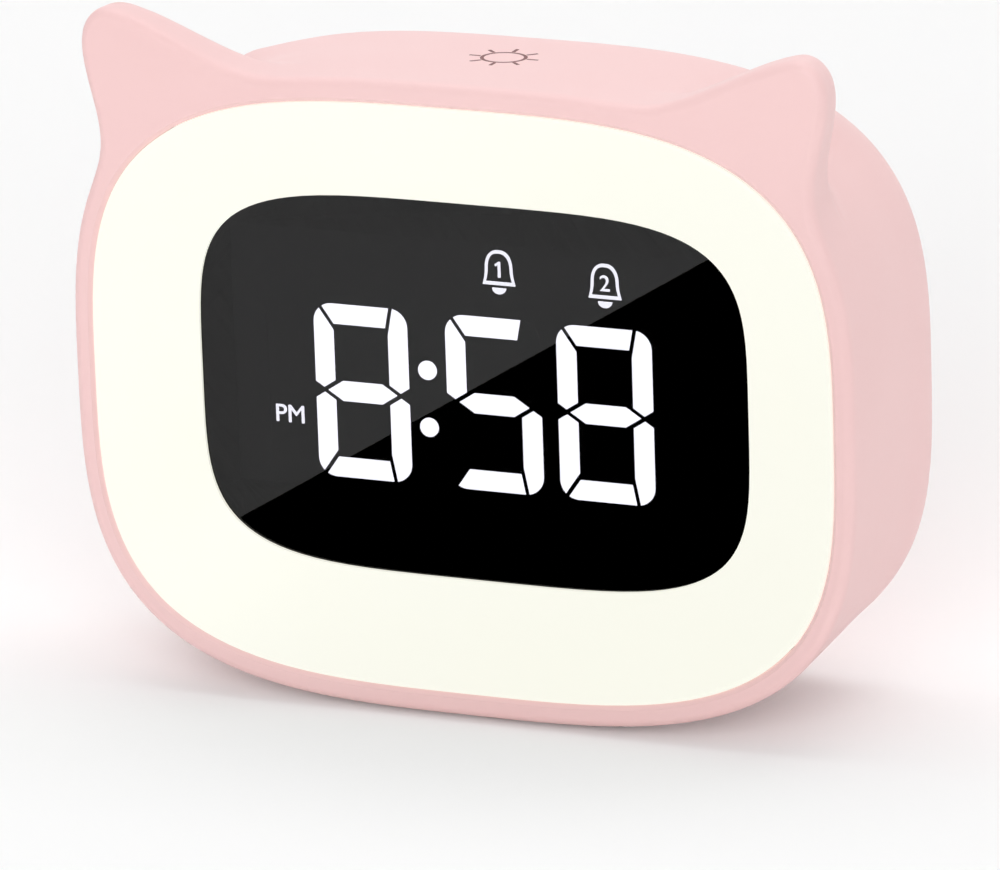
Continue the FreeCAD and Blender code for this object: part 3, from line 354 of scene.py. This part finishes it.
def slab(outlines, near, far, name):
    """A mesh of flat plates with the given outlines in x and z, between two depths."""
    build = bmesh.new()
    for outline in outlines:
        fronts = [build.verts.new((corner[0], near, corner[1])) for corner in outline]
        backs = [build.verts.new((corner[0], far, corner[1])) for corner in outline]
        build.faces.new(fronts)
        build.faces.new(list(reversed(backs)))
        for number in range(len(outline)):
            following = (number + 1) % len(outline)
            build.faces.new((fronts[number], backs[number], backs[following], fronts[following]))
    bmesh.ops.remove_doubles(build, verts=build.verts, dist=1e-7)
    bmesh.ops.recalc_face_normals(build, faces=build.faces)
    mesh = bpy.data.meshes.new(name)
    build.to_mesh(mesh)
    build.free()
    return mesh


def moved(outline, x, z):
    return [Vector((corner[0] + x, corner[1] + z)) for corner in outline]


def disc(x, z, radius, corners=40):
    return [Vector((x + radius * math.cos(math.tau * turn / corners),
                    z + radius * math.sin(math.tau * turn / corners))) for turn in range(corners)]


def lit(name, strength):
    """A milky diffuser lit from behind: one white, with the faint cloud of its pigment."""
    material, tree = new_material(name)
    place = add_node(tree, "ShaderNodeTexCoord")
    cloud = add_node(tree, "ShaderNodeTexNoise", {"Vector": place.outputs["Object"], "Scale": 1 / (4 * MM)})
    mix = add_node(tree, "ShaderNodeMix",
                   {0: cloud.outputs["Fac"], 6: hex_colour("#FFFFFF"), 7: hex_colour("#F6F6F6")},
                   data_type="RGBA")
    finish_material(tree, add_node(tree, "ShaderNodeBsdfPrincipled", {
        "Base Color": hex_colour("#D0D0D0"), "Roughness": 0.5,
        "Emission Color": mix.outputs[2], "Emission Strength": strength}))
    return material


figure_z = (segments_low.z + segments_high.z) / 2
last_x = segments_high.x - FIGURE_WIDTH / 2
second_x = last_x - SECOND_PITCH
first_x = second_x - FIRST_PITCH
tens_x = first_x - TENS_PITCH
FIGURES = ((first_x, "abcdefg", ""), (second_x, "acdfg", "be"),
           (last_x, "abcdefg", ""), (tens_x, "", "bc"))
bars = figure_bars()
shown, unlit = [], []
for x, lit_letters, unlit_letters in FIGURES:
    shown += [moved(bars[letter], x, figure_z) for letter in lit_letters]
    unlit += [moved(bars[letter], x, figure_z) for letter in unlit_letters]
COLON_RADIUS = 1.55 * MM
COLON_SPACING = 9.3 * MM
colon_x = (first_x + second_x) / 2
shown += [disc(colon_x, figure_z + COLON_SPACING / 2 * rise, COLON_RADIUS) for rise in (-1, 1)]
bar_face, film_face = segments_low.y - BAR_PROUD, segments_low.y - FILM_PROUD
block_low, block_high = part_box("digit_housing")
film_left, film_right = block_low.x + FILM_INSET, block_high.x - FILM_INSET
film_foot, film_top = block_low.z + FILM_INSET, block_high.z - FILM_INSET
film = ((film_left, film_foot), (film_right, film_foot), (film_right, film_top), (film_left, film_top))
lit_white = lit("lit_milky_epoxy", 14.0)
dark_epoxy = moulded_plastic("unlit_smoked_epoxy", "#040404", "#030303", 0.8, 0.8, 0.01, 0.1)
for name, outlines, near, far, material in (
        ("lit_figures", shown, bar_face, film_face, lit_white),
        ("dark_bars", unlit, bar_face, film_face, dark_epoxy),
        ("display_film", [film], film_face, segments_low.y, screen_ink)):
    thing = piece_from(name, slab(outlines, near, far, name))
    thing.data.materials.append(material)
    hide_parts("digit_segments")
    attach(thing, "base")

# Lit marks
# The letters and the two bells are thin diffusers on the same film, lit through windows in the
# block; a bell is a line round a number, with a half round clapper under its rim.
MARK_THICKNESS = 0.25 * MM
MARK_GAP = 0.1 * MM
LINE = 0.5 * MM
BELL_WIDTH = 5.4 * MM
BELL_HEIGHT = 5.6 * MM
CLAPPER_RADIUS = 1.15 * MM
CLAPPER_GAP = 0.5 * MM
BELL_1 = (4.45 * MM, 19.45 * MM)
BELL_2 = (21.95 * MM, 18.75 * MM)
PM_PLACE = (-31.6 * MM, -6.65 * MM)
NUMBER_HEIGHT = 2.5 * MM
LETTER_HEIGHT = 2.8 * MM
NUMBER_RISE = 0.5 * MM


def letters(text, height):
    """A mesh of plain letters in x and y, centred, with a thickness of one unit in z."""
    curve = bpy.data.curves.new("letters", "FONT")
    curve.body = text
    curve.extrude = 0.5
    text_object = piece_from("letters", curve)
    bpy.context.view_layer.update()
    graph = bpy.context.evaluated_depsgraph_get()
    mesh = bpy.data.meshes.new_from_object(text_object.evaluated_get(graph))
    bpy.data.objects.remove(text_object)
    low = Vector([min(vertex.co[axis] for vertex in mesh.vertices) for axis in range(3)])
    high = Vector([max(vertex.co[axis] for vertex in mesh.vertices) for axis in range(3)])
    middle, scale = (low + high) / 2, height / (high.y - low.y)
    for vertex in mesh.vertices:
        offset = vertex.co - middle
        vertex.co = (offset.x * scale, offset.y * scale, offset.z)
    mesh.materials.clear()
    return mesh


def figure_one(height):
    """A plain one with a flag, its corners as shares of its height, laid out as letters are."""
    corners = ((0.11, -0.5), (0.11, 0.5), (-0.03, 0.5), (-0.26, 0.33),
               (-0.19, 0.2), (-0.05, 0.3), (-0.05, -0.5))
    mesh = slab([[Vector((x * height, y * height)) for x, y in corners]], -0.5, 0.5, "figure_one")
    for vertex in mesh.vertices:
        vertex.co = (vertex.co.x, vertex.co.z, vertex.co.y)
    return mesh


def laid(mesh, x, z, near, far, facing=1):
    """Lays a flat mesh upright at x and z between two depths; facing -1 is read from behind."""
    middle, thickness = (near + far) / 2, far - near
    for vertex in mesh.vertices:
        vertex.co = (x + vertex.co.x * facing, middle + thickness * vertex.co.z, z + vertex.co.y)
    return mesh


def band(outer, inner, near, far):
    """A flat closed band between two outlines of as many corners, between two depths."""
    build = bmesh.new()
    rings = [[build.verts.new((corner[0], y, corner[1])) for corner in outline]
             for outline, y in ((outer, near), (inner, near), (inner, far), (outer, far))]
    for number, ring in enumerate(rings):
        following_ring = rings[(number + 1) % 4]
        for corner in range(len(ring)):
            following = (corner + 1) % len(ring)
            build.faces.new((ring[corner], ring[following],
                             following_ring[following], following_ring[corner]))
    mesh = bpy.data.meshes.new("band")
    build.to_mesh(mesh)
    build.free()
    return mesh


def bell_outline(scale, inset):
    """A bell seen from the side, a flared rim under a round crown, moved inwards by inset."""
    half = BELL_WIDTH * scale / 2 - inset
    rise = BELL_HEIGHT * scale - 2 * inset
    waist = half * 0.84
    right = [Vector((half + (waist - half) * math.sin(math.pi * step / 8), rise * 0.45 * step / 4))
             for step in range(5)]
    crown = rise - right[-1].y
    right += [Vector((waist * math.cos(math.pi * step / 20) ** 0.8,
                      right[4].y + crown * math.sin(math.pi * step / 20) ** 0.9)) for step in range(1, 10)]
    left = [Vector((-corner.x, corner.y)) for corner in reversed(right)]
    return [Vector((corner.x, corner.y + inset)) for corner in right + [Vector((0, rise))] + left]


def bell(x, z, near, far, scale=1.0):
    """The band of a bell and its clapper, centred on x and z."""
    clapper = CLAPPER_RADIUS * scale
    foot = z - (BELL_HEIGHT * scale - CLAPPER_GAP * scale - clapper) / 2
    line = LINE * max(scale, 0.6)
    ring = band(moved(bell_outline(scale, 0), x, foot), moved(bell_outline(scale, line), x, foot), near, far)
    half_round = [Vector((x + clapper * math.cos(math.pi * step / 14),
                          foot - CLAPPER_GAP * scale - clapper * 0.85 * math.sin(math.pi * step / 14)))
                  for step in range(15)]
    return [ring, slab([half_round], near, far, "clapper")]


def gathered(name, meshes, body, material):
    """One piece from several closed meshes, its faces turned outwards."""
    build = bmesh.new()
    for mesh in meshes:
        build.from_mesh(mesh)
    bmesh.ops.recalc_face_normals(build, faces=build.faces)
    mesh = bpy.data.meshes.new(name)
    build.to_mesh(mesh)
    build.free()
    mesh.materials.append(material)
    piece = piece_from(name, mesh)
    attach(piece, body)
    return piece


face_z = face_centre.z
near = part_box("display_lens")[1].y + MARK_GAP
far = near + MARK_THICKNESS
mark_white = lit("lit_diffuser_film", 12.0)
lit_marks = gathered("lit_marks", [
    *bell(BELL_1[0], face_z + BELL_1[1], near, far),
    *bell(BELL_2[0], face_z + BELL_2[1], near, far),
    laid(figure_one(NUMBER_HEIGHT), BELL_1[0], face_z + BELL_1[1] + NUMBER_RISE, near, far),
    laid(letters("2", NUMBER_HEIGHT), BELL_2[0], face_z + BELL_2[1] + NUMBER_RISE, near, far),
    laid(letters("PM", LETTER_HEIGHT), PM_PLACE[0], face_z + PM_PLACE[1], near, far)],
    "base", mark_white)
dress("digit_housing", moulded_plastic("black_display_block", "#050505", "#030303", 0.8, 0.7))
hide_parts("indicator_windows")

# Touch mark
# A pad print in a brown ink on the roof, over the touch plate inside: a ring with eight rays. The
# ink stands a few hundredths of a millimetre proud and is matter than the shell.
MARK_X = 1.2 * MM
MARK_BEHIND_FRONT = 20.8 * MM
INK_RELIEF = 0.03 * MM
RAY_DROP = 10 * MM
MARK_SIZES = {"Ring Radius": 3.4, "Line Radius": 0.3, "Rays": 8, "Ray Start": 3.85, "Ray End": 5.7}


def rule_tree(name, sizes):
    """A geometry node tree with a named number input for each size, and its group input node."""
    tree = bpy.data.node_groups.new(name, "GeometryNodeTree")
    for label, value in sizes.items():
        kind = "NodeSocketInt" if isinstance(value, int) else "NodeSocketFloat"
        socket = tree.interface.new_socket(label, in_out="INPUT", socket_type=kind)
        socket.default_value = value
    tree.interface.new_socket("Mesh", in_out="OUTPUT", socket_type="NodeSocketGeometry")
    return tree, tree.nodes.new("NodeGroupInput")


def end_rule(tree, parts, material):
    """Joins the parts, makes the instances real and gives them their material."""
    joined = add_node(tree, "GeometryNodeJoinGeometry")
    for part in parts:
        tree.links.new(part, joined.inputs[0])
    real = add_node(tree, "GeometryNodeRealizeInstances", {"Geometry": joined.outputs[0]})
    painted = add_node(tree, "GeometryNodeSetMaterial",
                       {"Geometry": real.outputs[0], "Material": material})
    tree.links.new(painted.outputs[0], tree.nodes.new("NodeGroupOutput").inputs[0])


def grown(tree, name, sizes):
    """A plain mesh object with what a tree makes, its inputs set by their identifiers."""
    carrier = piece_from(name, bpy.data.meshes.new(name))
    rule = carrier.modifiers.new("rule", "NODES")
    rule.node_group = tree
    for item in tree.interface.items_tree:
        if item.in_out == "INPUT" and item.name in sizes:
            rule[item.identifier] = sizes[item.name]
    graph = bpy.context.evaluated_depsgraph_get()
    mesh = bpy.data.meshes.new_from_object(carrier.evaluated_get(graph))
    carrier.modifiers.clear()
    carrier.data = mesh
    mesh.name = name
    return carrier


brown_ink = moulded_plastic("pad_print_brown_ink", "#855351", "#7C4B4A", 0.4, 0.6, 0.01)
tree, sizes = rule_tree("rayed_ring", MARK_SIZES)
line_section = add_node(tree, "GeometryNodeCurvePrimitiveCircle",
                        {"Resolution": 8, "Radius": sizes.outputs["Line Radius"]})
ring_path = add_node(tree, "GeometryNodeCurvePrimitiveCircle",
                     {"Resolution": 64, "Radius": sizes.outputs["Ring Radius"]})
ring = add_node(tree, "GeometryNodeCurveToMesh",
                {"Curve": ring_path.outputs["Curve"], "Profile Curve": line_section.outputs["Curve"]})
ray_start = add_node(tree, "ShaderNodeCombineXYZ", {"X": sizes.outputs["Ray Start"]})
ray_end = add_node(tree, "ShaderNodeCombineXYZ", {"X": sizes.outputs["Ray End"]})
ray_path = add_node(tree, "GeometryNodeCurvePrimitiveLine",
                    {"Start": ray_start.outputs[0], "End": ray_end.outputs[0]})
ray_steps = add_node(tree, "GeometryNodeResampleCurve", {"Curve": ray_path.outputs["Curve"], "Count": 8})
ray = add_node(tree, "GeometryNodeCurveToMesh", {"Curve": ray_steps.outputs["Curve"], "Fill Caps": True,
                                                 "Profile Curve": line_section.outputs["Curve"]})
ray_points = add_node(tree, "GeometryNodePoints", {"Count": sizes.outputs["Rays"]})
number = add_node(tree, "GeometryNodeInputIndex")
share = add_node(tree, "ShaderNodeMath", {0: number.outputs[0], 1: sizes.outputs["Rays"]}, operation="DIVIDE")
turn = add_node(tree, "ShaderNodeMath", {0: share.outputs[0], 1: math.tau}, operation="MULTIPLY")
rotation = add_node(tree, "ShaderNodeCombineXYZ", {"Z": turn.outputs[0]})
rays = add_node(tree, "GeometryNodeInstanceOnPoints", {
    "Points": ray_points.outputs[0], "Instance": ray.outputs["Mesh"], "Rotation": rotation.outputs[0]})
end_rule(tree, (ring.outputs["Mesh"], rays.outputs[0]), brown_ink)
touch_mark = grown(tree, "touch_mark", MARK_SIZES)
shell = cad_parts["housing_shell"]
roof = BVHTree.FromPolygons([shell.matrix_world @ vertex.co for vertex in shell.data.vertices],
                            [polygon.vertices for polygon in shell.data.polygons])
for vertex in touch_mark.data.vertices:
    x = MARK_X + vertex.co.x * MM
    y = shell_low.y + MARK_BEHIND_FRONT + vertex.co.y * MM
    hit = roof.ray_cast(Vector((x, y, shell_high.z + RAY_DROP)), Vector((0, 0, -1)))[0]
    vertex.co = (x, y, hit.z + vertex.co.z / MARK_SIZES["Line Radius"] * INK_RELIEF)
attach(touch_mark, "base")

# Rear keys
# Four moulded keys in a deeper pink with softened edges, each with a pad printed sign: a ring to
# set the time, minus, plus, and a bell for the alarm.
KEY_EDGE = 0.35 * MM
SIGN_RELIEF = 0.04 * MM
SIGN_RADIUS = 1.5 * MM
SIGN_HALF_LINE = 0.25 * MM
RING_INNER_RADIUS = 1.05 * MM
DOT_RADIUS = 0.45 * MM
BELL_SIGN_SCALE = 0.6
FLAT_ANGLE = math.radians(1)
RIM_ANGLE = 0.5
RIM_STEPS = 4
key_pink = moulded_plastic("satin_rose_ABS_keys", "#E3A6A5", "#DF9F9E", 0.35, 0.4)
sign_white = moulded_plastic("pad_print_white_ink", "#F7F3F0", "#F2EEEB", 0.4, 0.55, 0.01)


def softened(node, name, radius, material, body):
    """A copy of a CAD piece whose outer rim is rounded, standing in for that piece."""
    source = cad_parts[node]
    build = bmesh.new()
    build.from_mesh(source.data)
    build.transform(source.matrix_world)
    bmesh.ops.remove_doubles(build, verts=build.verts, dist=1e-6)
    bmesh.ops.dissolve_limit(build, angle_limit=FLAT_ANGLE, verts=build.verts, edges=build.edges)
    top = max(vertex.co.y for vertex in build.verts)
    rim = [edge for edge in build.edges
           if all(abs(vertex.co.y - top) < 1e-6 for vertex in edge.verts)
           and edge.calc_face_angle(0) > RIM_ANGLE]
    bmesh.ops.bevel(build, geom=rim, offset=radius, segments=RIM_STEPS, profile=0.5, affect="EDGES")
    bmesh.ops.recalc_face_normals(build, faces=build.faces)
    mesh = bpy.data.meshes.new(name)
    build.to_mesh(mesh)
    build.free()
    mesh.materials.append(material)
    piece = piece_from(name, mesh)
    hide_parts(node)
    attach(piece, body)


def rear_sign(kind, x, z, near, far):
    """The meshes of one sign, as plates that face the back."""
    if kind == "ring":
        return [band(disc(x, z, SIGN_RADIUS), disc(x, z, RING_INNER_RADIUS), near, far),
                slab([disc(x, z, DOT_RADIUS, 20)], near, far, "dot")]
    if kind == "bell":
        return bell(x, z, near, far, BELL_SIGN_SCALE)
    strokes = [[Vector((x + SIGN_RADIUS * across, z + SIGN_HALF_LINE * upright))
                for across, upright in ((-1, -1), (1, -1), (1, 1), (-1, 1))]]
    if kind == "plus":
        for rise in (-1, 1):
            start, end = z + rise * SIGN_HALF_LINE, z + rise * SIGN_RADIUS
            strokes.append([Vector((x + SIGN_HALF_LINE * across, height))
                            for across, height in ((-1, start), (1, start), (1, end), (-1, end))])
    return [slab([stroke], near, far, "stroke") for stroke in strokes]


for key, kind in (("set_key", "ring"), ("down_key", "minus"), ("up_key", "plus"), ("alarm_key", "bell")):
    key_low, key_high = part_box(key)
    middle_x, middle_z = (key_low.x + key_high.x) / 2, (key_low.z + key_high.z) / 2
    softened(key, key + "_cap", KEY_EDGE, key_pink, key + "_body")
    sign = rear_sign(kind, middle_x, middle_z, key_high.y, key_high.y + SIGN_RELIEF)
    gathered(key + "_sign", sign, key + "_body", sign_white)

# Alarm knobs
# Two small finger knobs of the same resin as the keys, each in a slot of the cover, with printed
# words at the ends of the slot and a number over it.
KNOB_EDGE = 0.2 * MM
HALF_TRAVEL = 1.0 * MM
LABEL_HEIGHT = 2.2 * MM
LABEL_RISE = 4.2 * MM
WORD_HEIGHT = 1.3 * MM
OFF_REACH = 4.8 * MM
ON_REACH = 4.6 * MM
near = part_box("rear_cover")[1].y
far = near + SIGN_RELIEF
for knob, label in (("alarm_1_knob", "1"), ("alarm_2_knob", "2")):
    softened(knob, knob + "_grip", KNOB_EDGE, key_pink, knob + "_body")
    knob_low, knob_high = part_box(knob)
    middle_x = (knob_low.x + knob_high.x) / 2 + HALF_TRAVEL
    middle_z = (knob_low.z + knob_high.z) / 2
    figure = figure_one(LABEL_HEIGHT) if label == "1" else letters(label, LABEL_HEIGHT)
    words = [laid(figure, middle_x, middle_z + LABEL_RISE, near, far, -1),
             laid(letters("OFF", WORD_HEIGHT), middle_x - OFF_REACH, middle_z, near, far, -1),
             laid(letters("ON", WORD_HEIGHT), middle_x + ON_REACH, middle_z, near, far, -1)]
    gathered(knob + "_words", words, "base", brown_ink)

# Cover screws
# Four pan head screws of zinc plated steel with a cross recess. They sit in recesses of the rear
# cover and run into the bosses of the shell; the tray's and the board's screws are the same steel.
zinc, tree = new_material("zinc_plated_steel")
place = add_node(tree, "ShaderNodeTexCoord")
scuff = add_node(tree, "ShaderNodeTexNoise",
                 {"Vector": place.outputs["Object"], "Scale": 1 / (0.5 * MM), "Detail": 3.0})
gloss = add_node(tree, "ShaderNodeMapRange", {"Value": scuff.outputs["Fac"], "To Min": 0.25, "To Max": 0.42})
finish_material(tree, add_node(tree, "ShaderNodeBsdfPrincipled", {
    "Base Color": hex_colour("#B9BCC0"), "Metallic": 1.0, "Roughness": gloss.outputs["Result"]}))
screws_low, screws_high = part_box("cover_screws")
SCREW_HEAD_RADIUS = 2.4
BRIM_SHARE = 0.6
CROWN_SHARE = 0.8
SCREW_SIZES = {"Head Radius": SCREW_HEAD_RADIUS, "Head Height": 1.5,
               "Shank Radius": 1.25, "Shank Length": 9.0,
               "Recess Width": 0.7, "Recess Reach": 2.9, "Recess Depth": 0.9,
               "Spacing X": (screws_high.x - screws_low.x) / MM - 2 * SCREW_HEAD_RADIUS,
               "Spacing Z": (screws_high.z - screws_low.z) / MM - 2 * SCREW_HEAD_RADIUS}
tree, sizes = rule_tree("cross_recess_screws", SCREW_SIZES)
brim = add_node(tree, "ShaderNodeMath",
                {0: sizes.outputs["Head Height"], 1: BRIM_SHARE}, operation="MULTIPLY")
crown = add_node(tree, "ShaderNodeMath",
                 {0: sizes.outputs["Head Height"], 1: 1 - BRIM_SHARE}, operation="MULTIPLY")
crown_radius = add_node(tree, "ShaderNodeMath",
                        {0: sizes.outputs["Head Radius"], 1: CROWN_SHARE}, operation="MULTIPLY")
brim_disc = add_node(tree, "GeometryNodeMeshCone", {
    "Vertices": 32, "Radius Top": sizes.outputs["Head Radius"], "Radius Bottom": sizes.outputs["Head Radius"],
    "Depth": brim.outputs[0]})
crown_disc = add_node(tree, "GeometryNodeMeshCone", {
    "Vertices": 32, "Radius Top": crown_radius.outputs[0], "Radius Bottom": sizes.outputs["Head Radius"],
    "Depth": crown.outputs[0]})
crown_lift = add_node(tree, "ShaderNodeCombineXYZ", {"Z": brim.outputs[0]})
crown_raised = add_node(tree, "GeometryNodeTransform",
                        {"Geometry": crown_disc.outputs["Mesh"], "Translation": crown_lift.outputs[0]})
head = add_node(tree, "GeometryNodeMeshBoolean", operation="UNION")
tree.links.new(brim_disc.outputs["Mesh"], head.inputs["Mesh 2"])
tree.links.new(crown_raised.outputs[0], head.inputs["Mesh 2"])
recess_floor = add_node(tree, "ShaderNodeMath",
                        {0: sizes.outputs["Head Height"], 1: sizes.outputs["Recess Depth"]},
                        operation="SUBTRACT")
recess_rise = add_node(tree, "ShaderNodeMath", {0: recess_floor.outputs[0], 1: 1.0}, operation="ADD")
recess_lift = add_node(tree, "ShaderNodeCombineXYZ", {"Z": recess_rise.outputs[0]})
cut_head = add_node(tree, "GeometryNodeMeshBoolean", operation="DIFFERENCE")
tree.links.new(head.outputs["Mesh"], cut_head.inputs["Mesh 1"])
for long_axis, short_axis in (("X", "Y"), ("Y", "X")):
    arm_size = add_node(tree, "ShaderNodeCombineXYZ", {
        long_axis: sizes.outputs["Recess Reach"], short_axis: sizes.outputs["Recess Width"], "Z": 2.0})
    arm = add_node(tree, "GeometryNodeMeshCube", {"Size": arm_size.outputs[0]})
    arm_raised = add_node(tree, "GeometryNodeTransform",
                          {"Geometry": arm.outputs["Mesh"], "Translation": recess_lift.outputs[0]})
    tree.links.new(arm_raised.outputs[0], cut_head.inputs["Mesh 2"])
shank = add_node(tree, "GeometryNodeMeshCone", {
    "Vertices": 24, "Radius Top": sizes.outputs["Shank Radius"],
    "Radius Bottom": sizes.outputs["Shank Radius"], "Depth": sizes.outputs["Shank Length"]})
shank_drop = add_node(tree, "ShaderNodeMath",
                      {0: sizes.outputs["Shank Length"], 1: -1.0}, operation="MULTIPLY")
shank_place = add_node(tree, "ShaderNodeCombineXYZ", {"Z": shank_drop.outputs[0]})
shank_lowered = add_node(tree, "GeometryNodeTransform",
                         {"Geometry": shank.outputs["Mesh"], "Translation": shank_place.outputs[0]})
one_screw = add_node(tree, "GeometryNodeJoinGeometry")
tree.links.new(cut_head.outputs["Mesh"], one_screw.inputs[0])
tree.links.new(shank_lowered.outputs[0], one_screw.inputs[0])
corners = add_node(tree, "GeometryNodeMeshGrid", {
    "Size X": sizes.outputs["Spacing X"], "Size Y": sizes.outputs["Spacing Z"],
    "Vertices X": 2, "Vertices Y": 2})
screws = add_node(tree, "GeometryNodeInstanceOnPoints",
                  {"Points": corners.outputs["Mesh"], "Instance": one_screw.outputs[0]})
end_rule(tree, (screws.outputs[0],), zinc)
cross_screws = grown(tree, "cross_recess_screws", SCREW_SIZES)
for vertex in cross_screws.data.vertices:
    vertex.co = ((screws_low.x + screws_high.x) / 2 - vertex.co.x * MM,
                 screws_high.y + (vertex.co.z - SCREW_SIZES["Head Height"]) * MM,
                 (screws_low.z + screws_high.z) / 2 + vertex.co.y * MM)
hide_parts("cover_screws")
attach(cross_screws, "base")
for node in ("tray_screws", "board_screws"):
    dress(node, zinc)

# Feet
# Four moulded rubber pads, dull, with a dusty bloom. They are pressed into round pockets in the
# floor of the shell and stand a little proud of it.
rubber = moulded_plastic("moulded_grey_rubber", "#6B6566", "#5F5A5B", 0.5, 0.8, 0.05)
for node in ("front_left_foot", "front_right_foot", "rear_left_foot", "rear_right_foot"):
    dress(node, rubber)

# Charging socket
# A drawn shell of nickel plated steel round a black contact tongue of glass filled nylon.
def plated_metal(name, shade, roughness, grain):
    """Plated or rolled metal whose gloss varies over a grain of the given size in millimetres."""
    material, tree = new_material(name)
    place = add_node(tree, "ShaderNodeTexCoord")
    cloud = add_node(tree, "ShaderNodeTexNoise",
                     {"Vector": place.outputs["Object"], "Scale": 1 / (grain * MM), "Detail": 2.0})
    gloss = add_node(tree, "ShaderNodeMapRange", {"Value": cloud.outputs["Fac"], "To Min": roughness - 0.08,
                                                  "To Max": roughness + 0.08})
    finish_material(tree, add_node(tree, "ShaderNodeBsdfPrincipled", {
        "Base Color": hex_colour(shade), "Metallic": 1.0, "Roughness": gloss.outputs["Result"]}))
    return material


dress("charging_socket", plated_metal("nickel_plated_steel", "#C4C0B8", 0.3, 0.6))
black_nylon = moulded_plastic("glass_filled_black_nylon", "#161617", "#101011", 0.3, 0.5)
dress("socket_tongue", black_nylon)

# Speaker
# A stamped steel basket with a treated paper cone, a ferrite magnet and a foam gasket that seals
# it against the back of the grille.
dress("speaker_frame", plated_metal("stamped_black_steel", "#3A3B3D", 0.45, 0.8))
dress("speaker_magnet", plated_metal("ground_ferrite", "#4A4A4C", 0.55, 0.4))
dress("speaker_cone", moulded_plastic("treated_black_paper", "#1D1C1C", "#262423", 0.4, 0.85, 0.08))
black_foam = moulded_plastic("open_cell_black_foam", "#232323", "#1A1A1A", 0.5, 0.95, 0.2)
dress("speaker_gasket", black_foam)
dress("battery_pad", black_foam)

# Boards
# Glass epoxy boards under a green solder mask, with copper tracks that show as lighter lines; the
# light board is masked in white, so that it throws light forwards.
def solder_mask(name, shade, track, pitch):
    """A glossy board whose buried tracks lie on a grid of the given pitch in millimetres."""
    material, tree = new_material(name)
    place = add_node(tree, "ShaderNodeTexCoord")
    tracks = add_node(tree, "ShaderNodeTexBrick", {
        "Vector": place.outputs["Object"], "Color1": hex_colour(shade), "Color2": hex_colour(shade),
        "Mortar": hex_colour(track), "Scale": 1 / (pitch * MM), "Mortar Size": 0.04, "Row Height": 0.5})
    shader = add_node(tree, "ShaderNodeBsdfPrincipled", {
        "Base Color": tracks.outputs["Color"], "Roughness": 0.3, "IOR": 1.5})
    finish_material(tree, shader)
    return material


green_mask = solder_mask("green_solder_mask", "#1E5B37", "#2F7A4C", 2.54)
for node in ("main_board", "display_board"):
    dress(node, green_mask)
dress("light_board", solder_mask("white_solder_mask", "#EDEDEA", "#E2E2DE", 5.0))
chip_epoxy = moulded_plastic("moulded_black_epoxy", "#1A1A1C", "#141416", 0.3, 0.55)
for node in ("board_chips", "board_header"):
    dress(node, chip_epoxy)
dress("timing_crystal", plated_metal("drawn_nickel_can", "#CFCDC8", 0.25, 0.5))
dress("light_chips", moulded_plastic("yellow_phosphor_silicone", "#EFD98A", "#E8CF78", 0.4, 0.35))

# Switches
# Four push switches under the keys and two slide switches under the knobs, soldered to the main
# board: housings of black nylon with stems and sliders of ivory acetal.
for node in ("set_switch", "down_switch", "up_switch", "alarm_switch",
             "alarm_1_slide_switch", "alarm_2_slide_switch"):
    dress(node, black_nylon)
ivory_acetal = moulded_plastic("ivory_acetal", "#E9E4D4", "#E2DCCB", 0.5, 0.35)
for node in ("set_switch_stem", "down_switch_stem", "up_switch_stem", "alarm_switch_stem",
             "alarm_1_slider", "alarm_2_slider"):
    dress(node, ivory_acetal)

# Tray
# A white polypropylene moulding behind the panel: it holds the ring-shaped light board and throws
# the light of its chips forwards.
dress("reflector_tray", moulded_plastic("white_polypropylene", "#F2F2EF", "#ECECE8", 0.8, 0.45))

# Touch plate and strip
# The plate lies under the roof behind the printed mark, and the strip leads from it to the main
# board. Both are rolled copper foil, a little tarnished.
copper = plated_metal("rolled_copper_foil", "#C7835A", 0.38, 1.2)
for node in ("touch_plate", "touch_contact"):
    dress(node, copper)

# Battery
# A pouch cell, stuck to the back of the display board by a foam pad. Its wrap is an aluminium
# laminate embossed with small cells.
pouch, tree = new_material("embossed_aluminium_laminate")
place = add_node(tree, "ShaderNodeTexCoord")
emboss = add_node(tree, "ShaderNodeTexVoronoi", {"Vector": place.outputs["Object"], "Scale": 1 / (1.5 * MM)})
relief = add_node(tree, "ShaderNodeBump",
                  {"Height": emboss.outputs["Distance"], "Strength": 0.2, "Distance": 0.1 * MM})
finish_material(tree, add_node(tree, "ShaderNodeBsdfPrincipled", {
    "Base Color": hex_colour("#C9CBCE"), "Metallic": 0.9, "Roughness": 0.38,
    "Normal": relief.outputs["Normal"]}))
dress("battery_cell", pouch)

# Inner leads
# Short stranded wires, soldered at both ends, in soft extruded PVC: red to the battery and the
# speaker, white to the light board.
red_pvc = moulded_plastic("soft_red_PVC", "#B5302C", "#A82A27", 0.6, 0.45)
for node in ("battery_lead", "speaker_lead"):
    dress(node, red_pvc)
dress("light_lead", moulded_plastic("soft_white_PVC", "#ECEAE6", "#E4E2DD", 0.6, 0.45))
